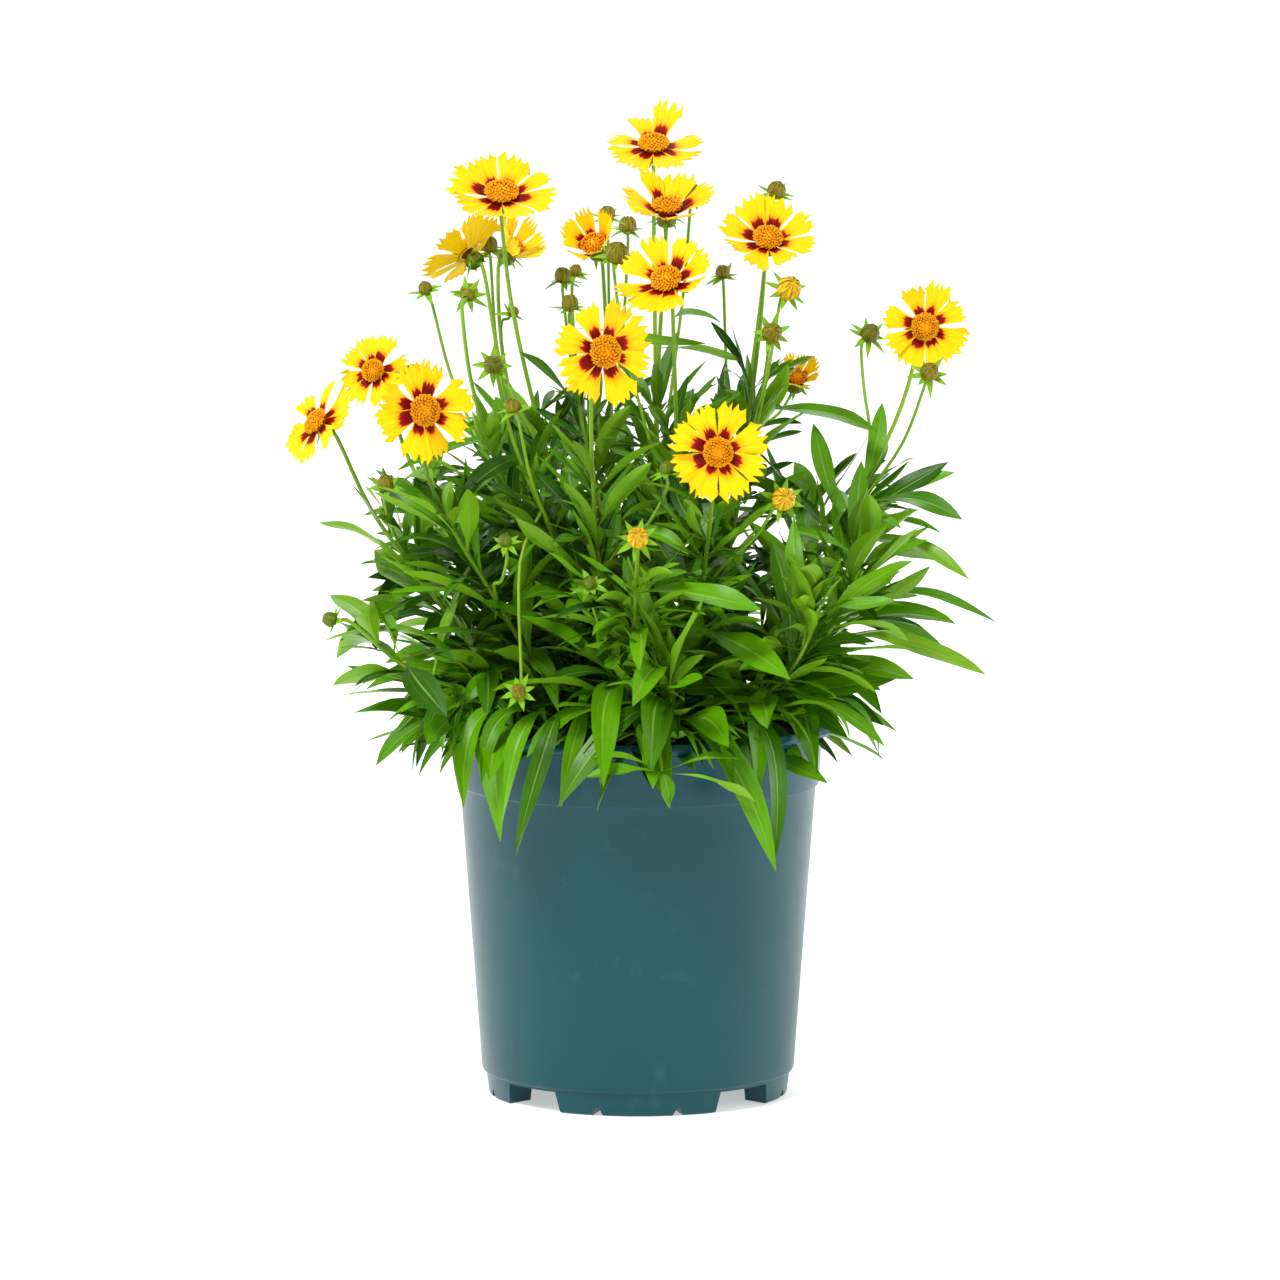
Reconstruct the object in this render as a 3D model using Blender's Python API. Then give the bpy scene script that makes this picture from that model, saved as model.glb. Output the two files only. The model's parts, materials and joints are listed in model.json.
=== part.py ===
"""A coreopsis in its nursery pot: leafy flowering shoots rooted in potting soil.

Sizes are in millimetres and become metres when a mesh is made. +Z is up, the front faces -Y,
and the origin is on the floor under the pot's axis.
"""

import math
import random
from collections import namedtuple

import bpy
from mathutils import Vector
from mathutils.bvhtree import BVHTree

MM = 0.001
UP = Vector((0, 0, 1))
GAP = 0.3

# Pot: outer radii and heights, from the floor up
POT_SIDES = 40
FOOT_RADIUS = 57.6
FOOT_TOP_RADIUS = 58.6
FOOT_HEIGHT = 9.0
WALL_BOTTOM_RADIUS = 60.3
WALL_TOP_RADIUS = 68.6
BAND_HEIGHT = 121.0
BAND_RADIUS = 69.8
LIP_HEIGHT = 141.0
LIP_RADIUS = 76.5
POT_HEIGHT = 145.5
WALL = 1.8
BASE_THICKNESS = 2.0
FOOT_COUNT = 4
FOOT_GAP_DEG = 29.0
FOOT_RING_WIDTH = 11.0
NOTCH_WIDTH = 5.0
NOTCH_HEIGHT = 2.8
NOTCH_ANGLES = (-15.5, 15.5)
DRAIN_RADIUS = 5.0
DRAIN_RING = 36.0

# Soil: fills the pot to a little under its rim
SOIL_TOP = 134.0
SOIL_CROWN = 2.5
SOIL_SIDES = 24
ROOT_DEPTH = 16.0
ROOT_HOLE_RADIUS = 2.6
ROOT_FIELD_RADIUS = 47.0

# Stems, bracts and discs
STEM_SIDES = 3
STEM_RADIUS = 1.2
PEDUNCLE_RADIUS = 0.8
NECK = 8.0
DISC_SIDES = 8
BUD_SIDES = 5
BRACTS = 5
BUD_RISE = 1.45

# Colours (linear) and roughnesses
LEAF_GREEN = ((0.09, 0.26, 0.03), 0.5)
PETAL_YELLOW = ((0.95, 0.66, 0.02), 0.55)
DISC_ORANGE = ((0.85, 0.38, 0.02), 0.7)
POT_TEAL = ((0.035, 0.11, 0.13), 0.4)
SOIL_BROWN = ((0.05, 0.032, 0.02), 0.95)

HEAD_LOOKS = {"rays": PETAL_YELLOW, "disc": DISC_ORANGE}

# Faces nearer to one plane than this are made one after a union
FLAT_DEG = 0.5
SHARP_DEG = 28

# Petals
PETAL_COUNT = 8
PETAL_THICKNESS = 0.7
HUB_SHARE = 0.26
DISC_RISE = 0.72
DISC_START = -0.4

# Leaves
LEAF_THICKNESS = 1.2
LEAF_STATIONS = ((0.0, 0.24), (0.5, 1.0))
LONG_STATIONS = ((0.0, 0.20), (0.34, 0.92), (0.68, 0.86))
LONG_LEAF = 62.0
REACH = 124.0
KEY_ROLL = 0.9

Head = namedtuple("Head", "name kind x y z azimuth elevation radius")
Shoot = namedtuple("Shoot", "name heads x y top leaves length lean")

# Each head's centre, the way it faces (azimuth 0 is the front, 90 is +X) and its radius
HEADS = {
    h.name: h
    for h in (
        Head("bloom_top", "bloom", 6, 30, 363, 0, 64, 20),
        Head("bloom_left_high", "bloom", -52, -10, 348, 3, 58, 22),
        Head("bloom_left_turned", "bloom", -66, 50, 320, -125, 39, 20),
        Head("bloom_left_back", "young", -49, 78, 319, 62, 50, 17),
        Head("bloom_mid_high", "bloom", 11, -15, 343, 5, 70, 19.5),
        Head("bloom_mid_young", "young", -17, 60, 322, -25, 42, 17),
        Head("bloom_mid", "bloom", 11, -40, 318, -16, 44, 20),
        Head("bloom_right_high", "bloom", 50, 30, 327, 6, 46, 19.5),
        Head("bloom_centre", "bloom", -13, -75, 295, 24, 8, 21),
        Head("bloom_right", "bloom", 110, 5, 296, 3, 8, 18),
        Head("bloom_left", "bloom", -81, -60, 271, 24, 10, 20.5),
        Head("bloom_left_mid", "bloom", -102, 40, 275, -22, 24, 15.5),
        Head("bloom_far_left", "bloom", -122, -15, 261, -60, 36, 18.5),
        Head("bloom_front", "bloom", 30, -92, 259, 4, 8, 19),
        Head("bloom_right_young", "young", 62, 70, 269, 14, 40, 12),
        Head("bud_mid_high", "bud", -12, 72, 334, -10, 80, 2.9),
        Head("bud_mid", "bud", -8, -24, 328, 10, 50, 4.1),
        Head("bud_right_top", "bud", 54, 62, 344, 30, 60, 3.4),
        Head("bud_right_low", "bud", 33, 82, 310, -10, 70, 2.7),
        Head("bud_right_big", "bud", 58, -20, 314, 25, 35, 4.4),
        Head("bud_right_mid", "bud", 51, -32, 298, 5, 25, 3.7),
        Head("bud_pair_left", "bud", -29, 20, 315, -5, 75, 3.0),
        Head("bud_pair_right", "bud", -24, 48, 314, 20, 60, 2.2),
        Head("bud_pair_low", "bud", -26, -6, 307, 0, 75, 3.1),
        Head("bud_left_far", "bud", -82, 20, 310, -40, 60, 2.5),
        Head("bud_left_back", "bud", -64, -26, 313, 160, 35, 3.4),
        Head("bud_left_small", "bud", -48, 46, 298, 60, 50, 2.0),
        Head("bud_star", "bud", -55, -45, 287, -5, 12, 3.4),
        Head("bud_left_low", "bud", -96, -35, 241, 5, 60, 2.9),
        Head("bud_left_hid", "bud", -87, 18, 278, -10, 70, 2.6),
        Head("bud_leafy_left", "bud", -47, -76, 275, -30, 60, 2.8),
        Head("bud_right_near", "bud", 90, 35, 291, 30, 45, 3.5),
        Head("bud_right_side", "bud", 111, -30, 283, 10, 35, 3.4),
        Head("bud_orange_right", "bud", 55, -88, 241, 15, 15, 4.2),
        Head("bud_orange_mid", "bud", 0, -108, 229, 0, 25, 3.8),
        Head("bud_green_mid", "bud", 11, -86, 253, 10, 75, 2.8),
        Head("bud_small_mid", "bud", -18, -98, 211, 0, 45, 2.4),
        Head("bud_small_left", "bud", -65, -84, 192, -30, 30, 2.4),
        Head("bud_leaf_left", "bud", -50, -90, 226, -10, 60, 2.4),
        Head("bud_low_left", "bud", -118, -32, 188, -80, 12, 2.8),
        Head("bud_left_upper", "bud", -58, 62, 323, -20, 75, 3.2),
        Head("bud_behind_mid", "bud", 21, 52, 344, 15, 70, 3.4),
        Head("bud_back_mid", "bud", -4, 88, 328, 0, 80, 3.4),
        Head("bud_spent", "bud", -45, -100, 170, -10, 20, 2.6),
    )
}

# Each shoot's heads (the first ends its stem), where its foliage leans to, how high it goes,
# its pairs of leaves, their longest length, and how far they spread from the stem in degrees
SHOOTS = (
    Shoot("shoot_top", ("bloom_top", "bud_behind_mid"), 5, 32, 262, 4, 60, 50),
    Shoot("shoot_left_high", ("bloom_left_high",), -34, -8, 262, 4, 62, 52),
    Shoot("shoot_left_turned", ("bloom_left_turned", "bud_left_upper"), -52, 34, 250, 4, 62, 55),
    Shoot("shoot_left_back", ("bloom_left_back", "bud_left_small"), -36, 62, 246, 4, 64, 55),
    Shoot("shoot_mid_high", ("bloom_mid_high",), 10, -14, 270, 3, 56, 48),
    Shoot("shoot_mid_young", ("bloom_mid_young", "bud_mid_high", "bud_back_mid"), -12, 48, 256, 3, 58, 50),
    Shoot("shoot_mid", ("bloom_mid", "bud_mid"), 12, -40, 262, 4, 60, 52),
    Shoot("shoot_right_high", ("bloom_right_high", "bud_right_big", "bud_right_mid"), 42, 4, 270, 4, 60, 52),
    Shoot(
        "shoot_right_back", ("bud_right_top", "bud_right_low", "bloom_right_young"), 44, 56, 252, 4, 64, 55
    ),
    Shoot("shoot_centre", ("bloom_centre", "bud_green_mid"), -12, -66, 244, 4, 60, 58),
    Shoot("shoot_right", ("bloom_right", "bud_right_side", "bud_right_near"), 74, -6, 232, 5, 68, 58),
    Shoot("shoot_left", ("bloom_left", "bud_leaf_left"), -56, -50, 232, 4, 66, 58),
    Shoot("shoot_left_mid", ("bloom_left_mid", "bud_left_hid"), -70, 26, 228, 4, 66, 58),
    Shoot("shoot_far_left", ("bloom_far_left", "bud_left_low"), -78, -14, 218, 5, 68, 58),
    Shoot("shoot_front", ("bloom_front", "bud_orange_right"), 36, -70, 232, 4, 66, 58),
    Shoot("shoot_pair", ("bud_pair_low", "bud_pair_left", "bud_pair_right"), -22, 6, 268, 3, 56, 48),
    Shoot("shoot_buds_left", ("bud_left_back", "bud_left_far"), -44, 10, 256, 3, 60, 52),
    Shoot("shoot_star", ("bud_star", "bud_leafy_left", "bud_spent"), -34, -50, 240, 3, 62, 56),
    Shoot("shoot_orange", ("bud_orange_mid", "bud_small_mid"), -4, -84, 206, 4, 66, 62),
    Shoot("shoot_low_left", ("bud_low_left",), -70, -58, 188, 4, 72, 64),
    Shoot("leafy_front", (), 12, -80, 176, 3, 70, 66),
    Shoot("leafy_right_front", (), 66, -56, 196, 4, 74, 64),
    Shoot("leafy_right", (), 84, -22, 212, 4, 74, 62),
    Shoot("leafy_right_back", (), 68, 44, 222, 4, 72, 60),
    Shoot("leafy_back", (), 6, 82, 214, 5, 74, 62),
    Shoot("leafy_left_back", (), -62, 62, 206, 5, 74, 62),
)

# Leaves that make the outline, and the large ones of the front: the tip, width and arch of each
KEY_LEAVES = (
    (92, 0, 256, 8, 4),
    (122, 12, 239, 9, 8),
    (124, -14, 224, 9, 10),
    (121, 20, 201, 10, 10),
    (127, -6, 200, 8, 12),
    (138, 2, 182, 6, 14),
    (133, -20, 165, 10, 16),
    (120, 26, 167, 11, 16),
    (105, -40, 166, 11, 16),
    (94, 30, 152, 12, 16),
    (93, -34, 152, 10, 16),
    (93, 10, 130, 10, 18),
    (80, -36, 143, 11, 16),
    (68, -60, 132, 11, 18),
    (52, -97, 101, 11, 24),
    (45, -84, 126, 10, 18),
    (12, -98, 125, 13, 18),
    (34, -108, 150, 13, 14),
    (46, -96, 200, 13, 8),
    (57, -98, 174, 12, 12),
    (5, -118, 142, 13, 18),
    (-93, 10, 233, 8, 8),
    (-92, -24, 244, 5, 6),
    (-95, 22, 216, 9, 8),
    (-96, -20, 208, 9, 10),
    (-102, 14, 187, 10, 12),
    (-114, -12, 177, 10, 14),
    (-98, 34, 162, 11, 14),
    (-104, -18, 159, 10, 16),
    (-93, 16, 146, 10, 16),
    (-92, -16, 134, 11, 18),
    (-86, 30, 122, 10, 18),
    (-74, -52, 141, 11, 16),
    (-72, -86, 158, 12, 10),
    (-66, -64, 120, 10, 26),
    (-52, -76, 109, 12, 22),
    (-30, -94, 125, 11, 18),
    (-13, -106, 134, 12, 16),
    (-20, 124, 168, 12, 14),
    (30, 128, 150, 12, 16),
    (-2, -128, 168, 10, 14),
    (64, 100, 156, 12, 14),
    (-60, 104, 152, 12, 14),
    (32, 22, 296, 6, 4),
    (26, -18, 292, 6, 4),
    (40, 36, 280, 7, 4),
)

# How far the petals of a bloom rise towards their tips, as shares of its radius
PETAL_CUP = (-0.06, 0.22)
PETAL_CUPS = {
    "bloom_top": (0.0, 0.15),
    "bloom_left_high": (0.1, 0.3),
    "bloom_left_turned": (0.1, 0.25),
    "bloom_mid_high": (0.3, 0.5),
    "bloom_mid": (0.2, 0.4),
    "bloom_right_high": (0.2, 0.35),
    "bloom_centre": (0.0, 0.1),
    "bloom_left_back": (0.5, 0.7),
    "bloom_mid_young": (0.5, 0.7),
    "bloom_right_young": (0.5, 0.7),
}
# One petal of the top bloom stands up
RAISED_PETAL = ("bloom_top", 2, 0.48)

SHOOT_SEED = 41
CROWN_LEAF_FOLD = 1.1


def facing(azimuth, elevation):
    """The unit vector that a head at this azimuth and elevation looks along."""
    turn = math.radians(azimuth)
    rise = math.radians(elevation)
    return Vector((math.sin(turn) * math.cos(rise), -math.cos(turn) * math.cos(rise), math.sin(rise)))


def across(direction):
    """A level unit vector to the right of direction, and one upright to both."""
    side = direction.cross(UP)
    if side.length < 1e-3:
        side = Vector((1, 0, 0))
    side.normalize()
    return side, side.cross(direction).normalized()


def bezier(p0, p1, p2, p3, t):
    """A point of a cubic curve."""
    u = 1 - t
    return p0 * u**3 + p1 * (3 * u * u * t) + p2 * (3 * u * t * t) + p3 * t**3


def outward(points, faces):
    """The faces wound so that they look out of the solid they close."""
    volume = 0
    for face in faces:
        for k in range(1, len(face) - 1):
            a, b, c = points[face[0]], points[face[k]], points[face[k + 1]]
            volume += a.dot(b.cross(c))
    return faces if volume > 0 else [tuple(face[::-1]) for face in faces]


def new_object(name, points, faces, material):
    """An object from points in millimetres."""
    mesh = bpy.data.meshes.new(name)
    mesh.from_pydata([p * MM for p in points], [], outward(points, faces))
    if material:
        mesh.materials.append(material)
    item = bpy.data.objects.new(name, mesh)
    bpy.context.scene.collection.objects.link(item)
    return item


def finish(name, look):
    """A material of one colour, for one object."""
    colour, roughness = look
    material = bpy.data.materials.new(name)
    material.use_nodes = True
    shader = material.node_tree.nodes["Principled BSDF"]
    shader.inputs["Base Color"].default_value = (*colour, 1)
    shader.inputs["Roughness"].default_value = roughness
    shader.inputs["Metallic"].default_value = 0
    return material


class Piece:
    """A closed shape of a node: its points, triangles and the tree that tests it for contact."""

    def __init__(self, node, points, faces, made_from=None):
        self.node = node
        self.made_from = made_from
        self.points = points
        self.faces = faces
        self.tree = BVHTree.FromPolygons(points, faces)
        self.low = [min(p[k] for p in points) for k in range(3)]
        self.high = [max(p[k] for p in points) for k in range(3)]

    def meets(self, other):
        """True where the two shapes' surfaces cross."""
        for k in range(3):
            if self.low[k] > other.high[k] or other.low[k] > self.high[k]:
                return False
        return bool(self.tree.overlap(other.tree))


def clear_of(piece, others):
    """True where a piece meets nothing that belongs to another node."""
    return not any(piece.meets(o) for o in others if o.node != piece.node)


def tube(path, radii, sides=STEM_SIDES, grow=0.0):
    """Points and triangles of a tube along a path, closed at both ends."""
    points = []
    side = None
    for i, p in enumerate(path):
        ahead = path[min(i + 1, len(path) - 1)] - path[max(i - 1, 0)]
        ahead.normalize()
        if side is None:
            side = across(ahead)[0]
        side = (side - ahead * side.dot(ahead)).normalized()
        other = ahead.cross(side)
        for k in range(sides):
            turn = 2 * math.pi * k / sides
            points.append(p + (side * math.cos(turn) + other * math.sin(turn)) * (radii[i] + grow))
    faces = []
    for i in range(len(path) - 1):
        for k in range(sides):
            a, b = i * sides + k, i * sides + (k + 1) % sides
            faces += [(a, b, b + sides), (a, b + sides, a + sides)]
    last = (len(path) - 1) * sides
    for k in range(1, sides - 1):
        faces += [(0, k + 1, k), (last, last + k, last + k + 1)]
    return points, faces


def leaf_spine(base, middle, tip, share):
    """A point of a blade's rib and its direction, a share of the way along."""
    back = 1 - share
    here = base * back * back + middle * (2 * back * share) + tip * share * share
    ahead = (middle - base) * back + (tip - middle) * share
    return here, ahead.normalized()


def rolled(side, top, roll):
    """A blade's sideways and upper directions, turned about its length."""
    return side * math.cos(roll) + top * math.sin(roll), top * math.cos(roll) - side * math.sin(roll)


def leaf_shape(base, middle, tip, width, roll, grow=0.0):
    """Points and triangles of one lance-shaped blade, folded a little along its rib."""
    points = []
    stations = LONG_STATIONS if (tip - base).length > LONG_LEAF else LEAF_STATIONS
    for s, w in stations:
        here, ahead = leaf_spine(base, middle, tip, s)
        side, top = rolled(*across(ahead), roll * s)
        half = width * w / 2 + grow
        thick = LEAF_THICKNESS / 2 + grow
        fold = CROWN_LEAF_FOLD * w * (1 if s else 0)
        points += [here - side * half, here + top * (thick - fold)]
        points += [here + side * half, here - top * (thick + fold)]
    points.append(tip)
    faces = []
    for i in range(len(stations) - 1):
        a = 4 * i
        # the left half, then the right half, with the same diagonal above and below
        faces += [(a, a + 4, a + 5), (a, a + 5, a + 1), (a, a + 7, a + 4), (a, a + 3, a + 7)]
        faces += [(a + 1, a + 5, a + 6), (a + 1, a + 6, a + 2), (a + 3, a + 6, a + 7), (a + 3, a + 2, a + 6)]
    a = 4 * (len(stations) - 1)
    end = a + 4
    faces += [(a, end, a + 1), (a + 1, end, a + 2), (a + 2, end, a + 3), (a + 3, end, a)]
    faces += [(0, 1, 2), (0, 2, 3)]
    return points, faces


def spike(base, direction, length, width):
    """A slim three-sided bract, as points and triangles."""
    side, top = across(direction)
    ring = [base + side * width / 2, base - side * width / 2, base - top * width * 0.45]
    return [*ring, base + direction * length], [(0, 1, 3), (1, 2, 3), (2, 0, 3), (0, 2, 1)]


def dome(centre, axis, radius, height, sides, rings, bump, start=0.0):
    """A closed dome of rings whose points stand in and out by turns."""
    side, other = across(axis)
    points = []
    for i in range(rings):
        rise = start + (0.5 * math.pi - start) * i / rings
        for k in range(sides):
            turn = 2 * math.pi * (k + 0.5 * i) / sides
            out = radius * math.cos(rise) * (1 + bump * (-1) ** (k + i))
            flat = side * math.cos(turn) + other * math.sin(turn)
            points.append(centre + flat * out + axis * height * math.sin(rise))
    points += [centre + axis * height, centre + axis * height * math.sin(start)]
    top, bottom = len(points) - 2, len(points) - 1
    faces = []
    for i in range(rings - 1):
        for k in range(sides):
            a, b = i * sides + k, i * sides + (k + 1) % sides
            faces += [(a, b, a + sides), (b, b + sides, a + sides)]
    last = (rings - 1) * sides
    for k in range(sides):
        faces += [(last + k, last + (k + 1) % sides, top), ((k + 1) % sides, k, bottom)]
    return points, faces


def petal_outline(radius, hub, cup):
    """A petal's outline as (along, sideways, lift) triples: its base, then the teeth of its tip."""
    spread = math.tan(math.pi / PETAL_COUNT)
    half_base = hub * spread * 0.62
    half_tip = radius * spread * 0.82
    return (
        (hub, -half_base, 0),
        (hub, half_base, 0),
        (radius * 0.90, half_tip, cup * 0.9),
        (radius * 0.88, half_tip * 0.40, cup * 0.8),
        (radius, 0, cup),
        (radius * 0.88, -half_tip * 0.40, cup * 0.8),
        (radius * 0.90, -half_tip, cup * 0.9),
    )


PETAL_FACES = ((0, 5, 6), (0, 3, 5), (0, 1, 3), (1, 2, 3), (3, 4, 5))


def petal_ring(head, rng):
    """Points and triangles of a bloom's rays: a small hub with the petals growing from it."""
    axis = facing(head.azimuth, head.elevation)
    side, other = across(axis)
    young = head.kind == "young"
    centre = Vector((head.x, head.y, head.z))
    points = []
    faces = []
    for k in range(PETAL_COUNT):
        turn = 2 * math.pi * (k + 0.5) / PETAL_COUNT
        reach = head.radius * rng.uniform(0.93, 1.05) * (0.72 if young else 1)
        cup = head.radius * rng.uniform(*PETAL_CUPS.get(head.name, PETAL_CUP))
        if (head.name, k) == RAISED_PETAL[:2]:
            cup = head.radius * RAISED_PETAL[2]
        along = side * math.cos(turn) + other * math.sin(turn)
        sideways = other * math.cos(turn) - side * math.sin(turn)
        start = len(points)
        for height in (PETAL_THICKNESS / 2, -PETAL_THICKNESS / 2):
            for reach_out, off, lift in petal_outline(reach, head.radius * HUB_SHARE, cup):
                points.append(centre + along * reach_out + sideways * off + axis * (lift + height))
        for a, b, c in PETAL_FACES:
            faces += [(start + a, start + b, start + c), (start + 7 + c, start + 7 + b, start + 7 + a)]
        for a in range(1, 7):
            b = (a + 1) % 7
            faces += [(start + b, start + a, start + a + 7), (start + b, start + a + 7, start + b + 7)]
    top, bottom = len(points), len(points) + 1
    points += [centre + axis * PETAL_THICKNESS / 2, centre - axis * PETAL_THICKNESS / 2]
    for k in range(PETAL_COUNT):
        here, after = 14 * k, 14 * ((k + 1) % PETAL_COUNT)
        faces += [(top, here + 1, here), (bottom, here + 7, here + 8)]
        faces += [(top, after, here + 1), (bottom, here + 8, after + 7)]
        faces += [(here + 1, after, after + 7), (here + 1, after + 7, here + 8)]
    return points, faces


def head_seat(head):
    """Where a head's stem ends: under the hub of a bloom, or in the ball of a bud."""
    axis = facing(head.azimuth, head.elevation)
    centre = Vector((head.x, head.y, head.z))
    if head.kind == "bud":
        return centre - axis * head.radius * 0.6
    return centre - axis * (PETAL_THICKNESS / 2 + GAP + 1.2)


def stem_path(start, set_off, head, bow):
    """A stem's points from start to a head: a smooth rise, then a short neck along the way it faces."""
    axis = facing(head.azimuth, head.elevation)
    seat = head_seat(head)
    neck = seat - axis * NECK
    span = (neck - start).length
    arrive = (UP * 1.4 + axis * 0.4 + (neck - start).normalized() * 0.6).normalized()
    p1 = start + set_off * span * 0.38 + bow
    p2 = neck - arrive * span * 0.30 + bow * 0.6
    count = max(3, min(6, round(span / 32)))
    path = [bezier(start, p1, p2, neck, i / count) for i in range(count + 1)]
    return [*path, seat - axis * NECK * 0.35, seat]


def root_spots(count):
    """Evenly spread places on the soil, as on a sunflower's disc."""
    golden = math.pi * (3 - math.sqrt(5))
    spots = []
    for i in range(count):
        out = ROOT_FIELD_RADIUS * math.sqrt((i + 0.5) / count)
        spots.append(Vector((out * math.cos(i * golden), out * math.sin(i * golden), 0)))
    return spots


def soil_height(x, y):
    """The soil's top at a place: a slight mound."""
    return SOIL_TOP + SOIL_CROWN * (1 - (x * x + y * y) / 66**2)


def bows(size):
    """Sideways bends to try in turn, from none to wide, for a stem that would cross another."""
    yield Vector((0, 0, 0))
    for ring in (1, 2, 3, 4, 5):
        for k in range(8):
            turn = math.pi * (k * 0.25 + 0.11 * ring)
            yield Vector((math.cos(turn), math.sin(turn), 0)) * size * ring


def first_clear_tube(node, start, set_off, head, radii, placed):
    """The first bend of a stem that meets nothing of another node."""
    for bow in bows(2.2):
        path = stem_path(start, set_off, head, bow)
        spread = [radii[0] + (radii[1] - radii[0]) * i / (len(path) - 1) for i in range(len(path))]
        if clear_of(Piece(node, *tube(path, spread, grow=GAP)), placed):
            break
    return path, spread


def lay_out():
    """Every piece of the plant as (kind, Piece), and each shoot's main stem."""
    placed = []
    rng = random.Random(SHOOT_SEED)
    heads = []
    for head in HEADS.values():
        if head.kind == "bud":
            continue
        rays = Piece("rays_" + head.name, *petal_ring(head, rng))
        axis = facing(head.azimuth, head.elevation)
        size = head.radius * HUB_SHARE
        lift = PETAL_THICKNESS / 2 + GAP - size * DISC_RISE * math.sin(DISC_START)
        seat = Vector((head.x, head.y, head.z)) + axis * lift
        shape = dome(seat, axis, size, size * DISC_RISE, DISC_SIDES, 3, 0.05, DISC_START)
        disc = Piece("disc_" + head.name, *shape)
        heads += [("rays", rays), ("disc", disc)]
    placed += [p for _, p in heads]
    found = list(heads)
    stems = {}
    spots = root_spots(len(SHOOTS))
    order = sorted(SHOOTS, key=lambda s: -math.hypot(s.x, s.y))
    for shoot in order:
        want = Vector((shoot.x, shoot.y, 0)) * 0.55
        spot = min(spots, key=lambda p: (p - want).length)
        spots.remove(spot)
        foot = Vector((spot.x, spot.y, soil_height(spot.x, spot.y) - ROOT_DEPTH))
        ground = foot + UP * ROOT_DEPTH
        turn = Vector((shoot.x - spot.x, shoot.y - spot.y, (shoot.top - ground.z) * 1.25)).normalized()
        if shoot.heads:
            head = HEADS[shoot.heads[0]]
        else:
            head = Head("tip", "tip", shoot.x, shoot.y, shoot.top, 0, 80, 2.0)
        path, radii = first_clear_tube(
            shoot.name, ground, turn, head, (STEM_RADIUS, PEDUNCLE_RADIUS), placed
        )
        path = [foot, *path]
        radii = [STEM_RADIUS, *radii]
        piece = Piece(shoot.name, *tube(path, radii), (path, radii))
        placed.append(piece)
        found.append(("stem", piece))
        stems[shoot.name] = path
        for i, name in enumerate(shoot.heads[1:]):
            side_head = HEADS[name]
            at = max(2, min(len(path) - 5, 3 + i))
            along = (path[at + 1] - path[at]).normalized()
            out = Vector((side_head.x, side_head.y, side_head.z)) - path[at]
            set_off = (along + out.normalized()).normalized()
            branch, spread = first_clear_tube(
                shoot.name, path[at], set_off, side_head, (PEDUNCLE_RADIUS, PEDUNCLE_RADIUS * 0.85), placed
            )
            piece = Piece(shoot.name, *tube(branch, spread), (branch, spread))
            placed.append(piece)
            found.append(("stem", piece))
    for shoot in order:
        for name in shoot.heads:
            seat, *bracts = head_greens(shoot.name, HEADS[name], rng)
            if not clear_of(seat, placed):
                continue
            for piece in (seat, *(b for b in bracts if clear_of(b, placed))):
                placed.append(piece)
                found.append(("green", piece))
    return placed, found, stems, order, rng


def head_greens(node, head, rng):
    """The green under a bloom, or a bud's ball and bracts, as pieces of the shoot's node."""
    axis = facing(head.azimuth, head.elevation)
    side, other = across(axis)
    seat = head_seat(head)
    pieces = []
    if head.kind == "bud":
        ball = dome(seat, axis, head.radius, head.radius * BUD_RISE, BUD_SIDES, 2, 0.0, -0.3)
        pieces.append(Piece(node, *ball))
        size, reach, lift = head.radius * 0.62, head.radius + 3.4, 0.35
    else:
        cup = dome(seat - axis * 2.4, axis, 3.4, 3.2, BUD_SIDES, 2, 0.0, -0.6)
        pieces.append(Piece(node, *cup))
        size, reach, lift = 2.4, 8.0, -0.25
    turn_start = rng.uniform(0, 1)
    count = BRACTS if head.kind == "bud" else BRACTS - 1
    for k in range(count):
        turn = 2 * math.pi * (k + turn_start) / count
        out = side * math.cos(turn) + other * math.sin(turn)
        base = seat - axis * 0.8 + out * size * 0.4
        blade = (out + axis * (lift + rng.uniform(-0.15, 0.1))).normalized()
        pieces.append(Piece(node, *spike(base, blade, reach, 1.9 if head.kind == "bud" else 2.2)))
    return pieces


def leaf_tries():
    """How a blade is turned, raised, bent and shortened, in turn, until it meets no other node."""
    return (
        (0, 0, 1.0, 1.0),
        (11, 5, 1.1, 1.0),
        (-11, -5, 0.9, 1.0),
        (20, -8, 1.2, 0.96),
        (-20, 8, 0.8, 0.96),
        (30, 14, 1.3, 0.92),
        (-30, -14, 0.7, 0.92),
        (42, 4, 1.0, 0.86),
        (-42, 10, 1.1, 0.86),
        (10, 24, 0.6, 0.80),
        (-10, -20, 1.4, 0.76),
        (55, 12, 0.9, 0.72),
        (-55, 0, 1.2, 0.66),
        (0, 30, 0.5, 0.58),
    )


def stem_point(path, height):
    """The point of a stem at a height, and its direction there."""
    at = 1
    while at < len(path) - 2 and path[at + 1].z < height:
        at += 1
    part = (height - path[at].z) / max(path[at + 1].z - path[at].z, 1e-6)
    return path[at].lerp(path[at + 1], min(max(part, 0), 1)), (path[at + 1] - path[at]).normalized()


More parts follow.
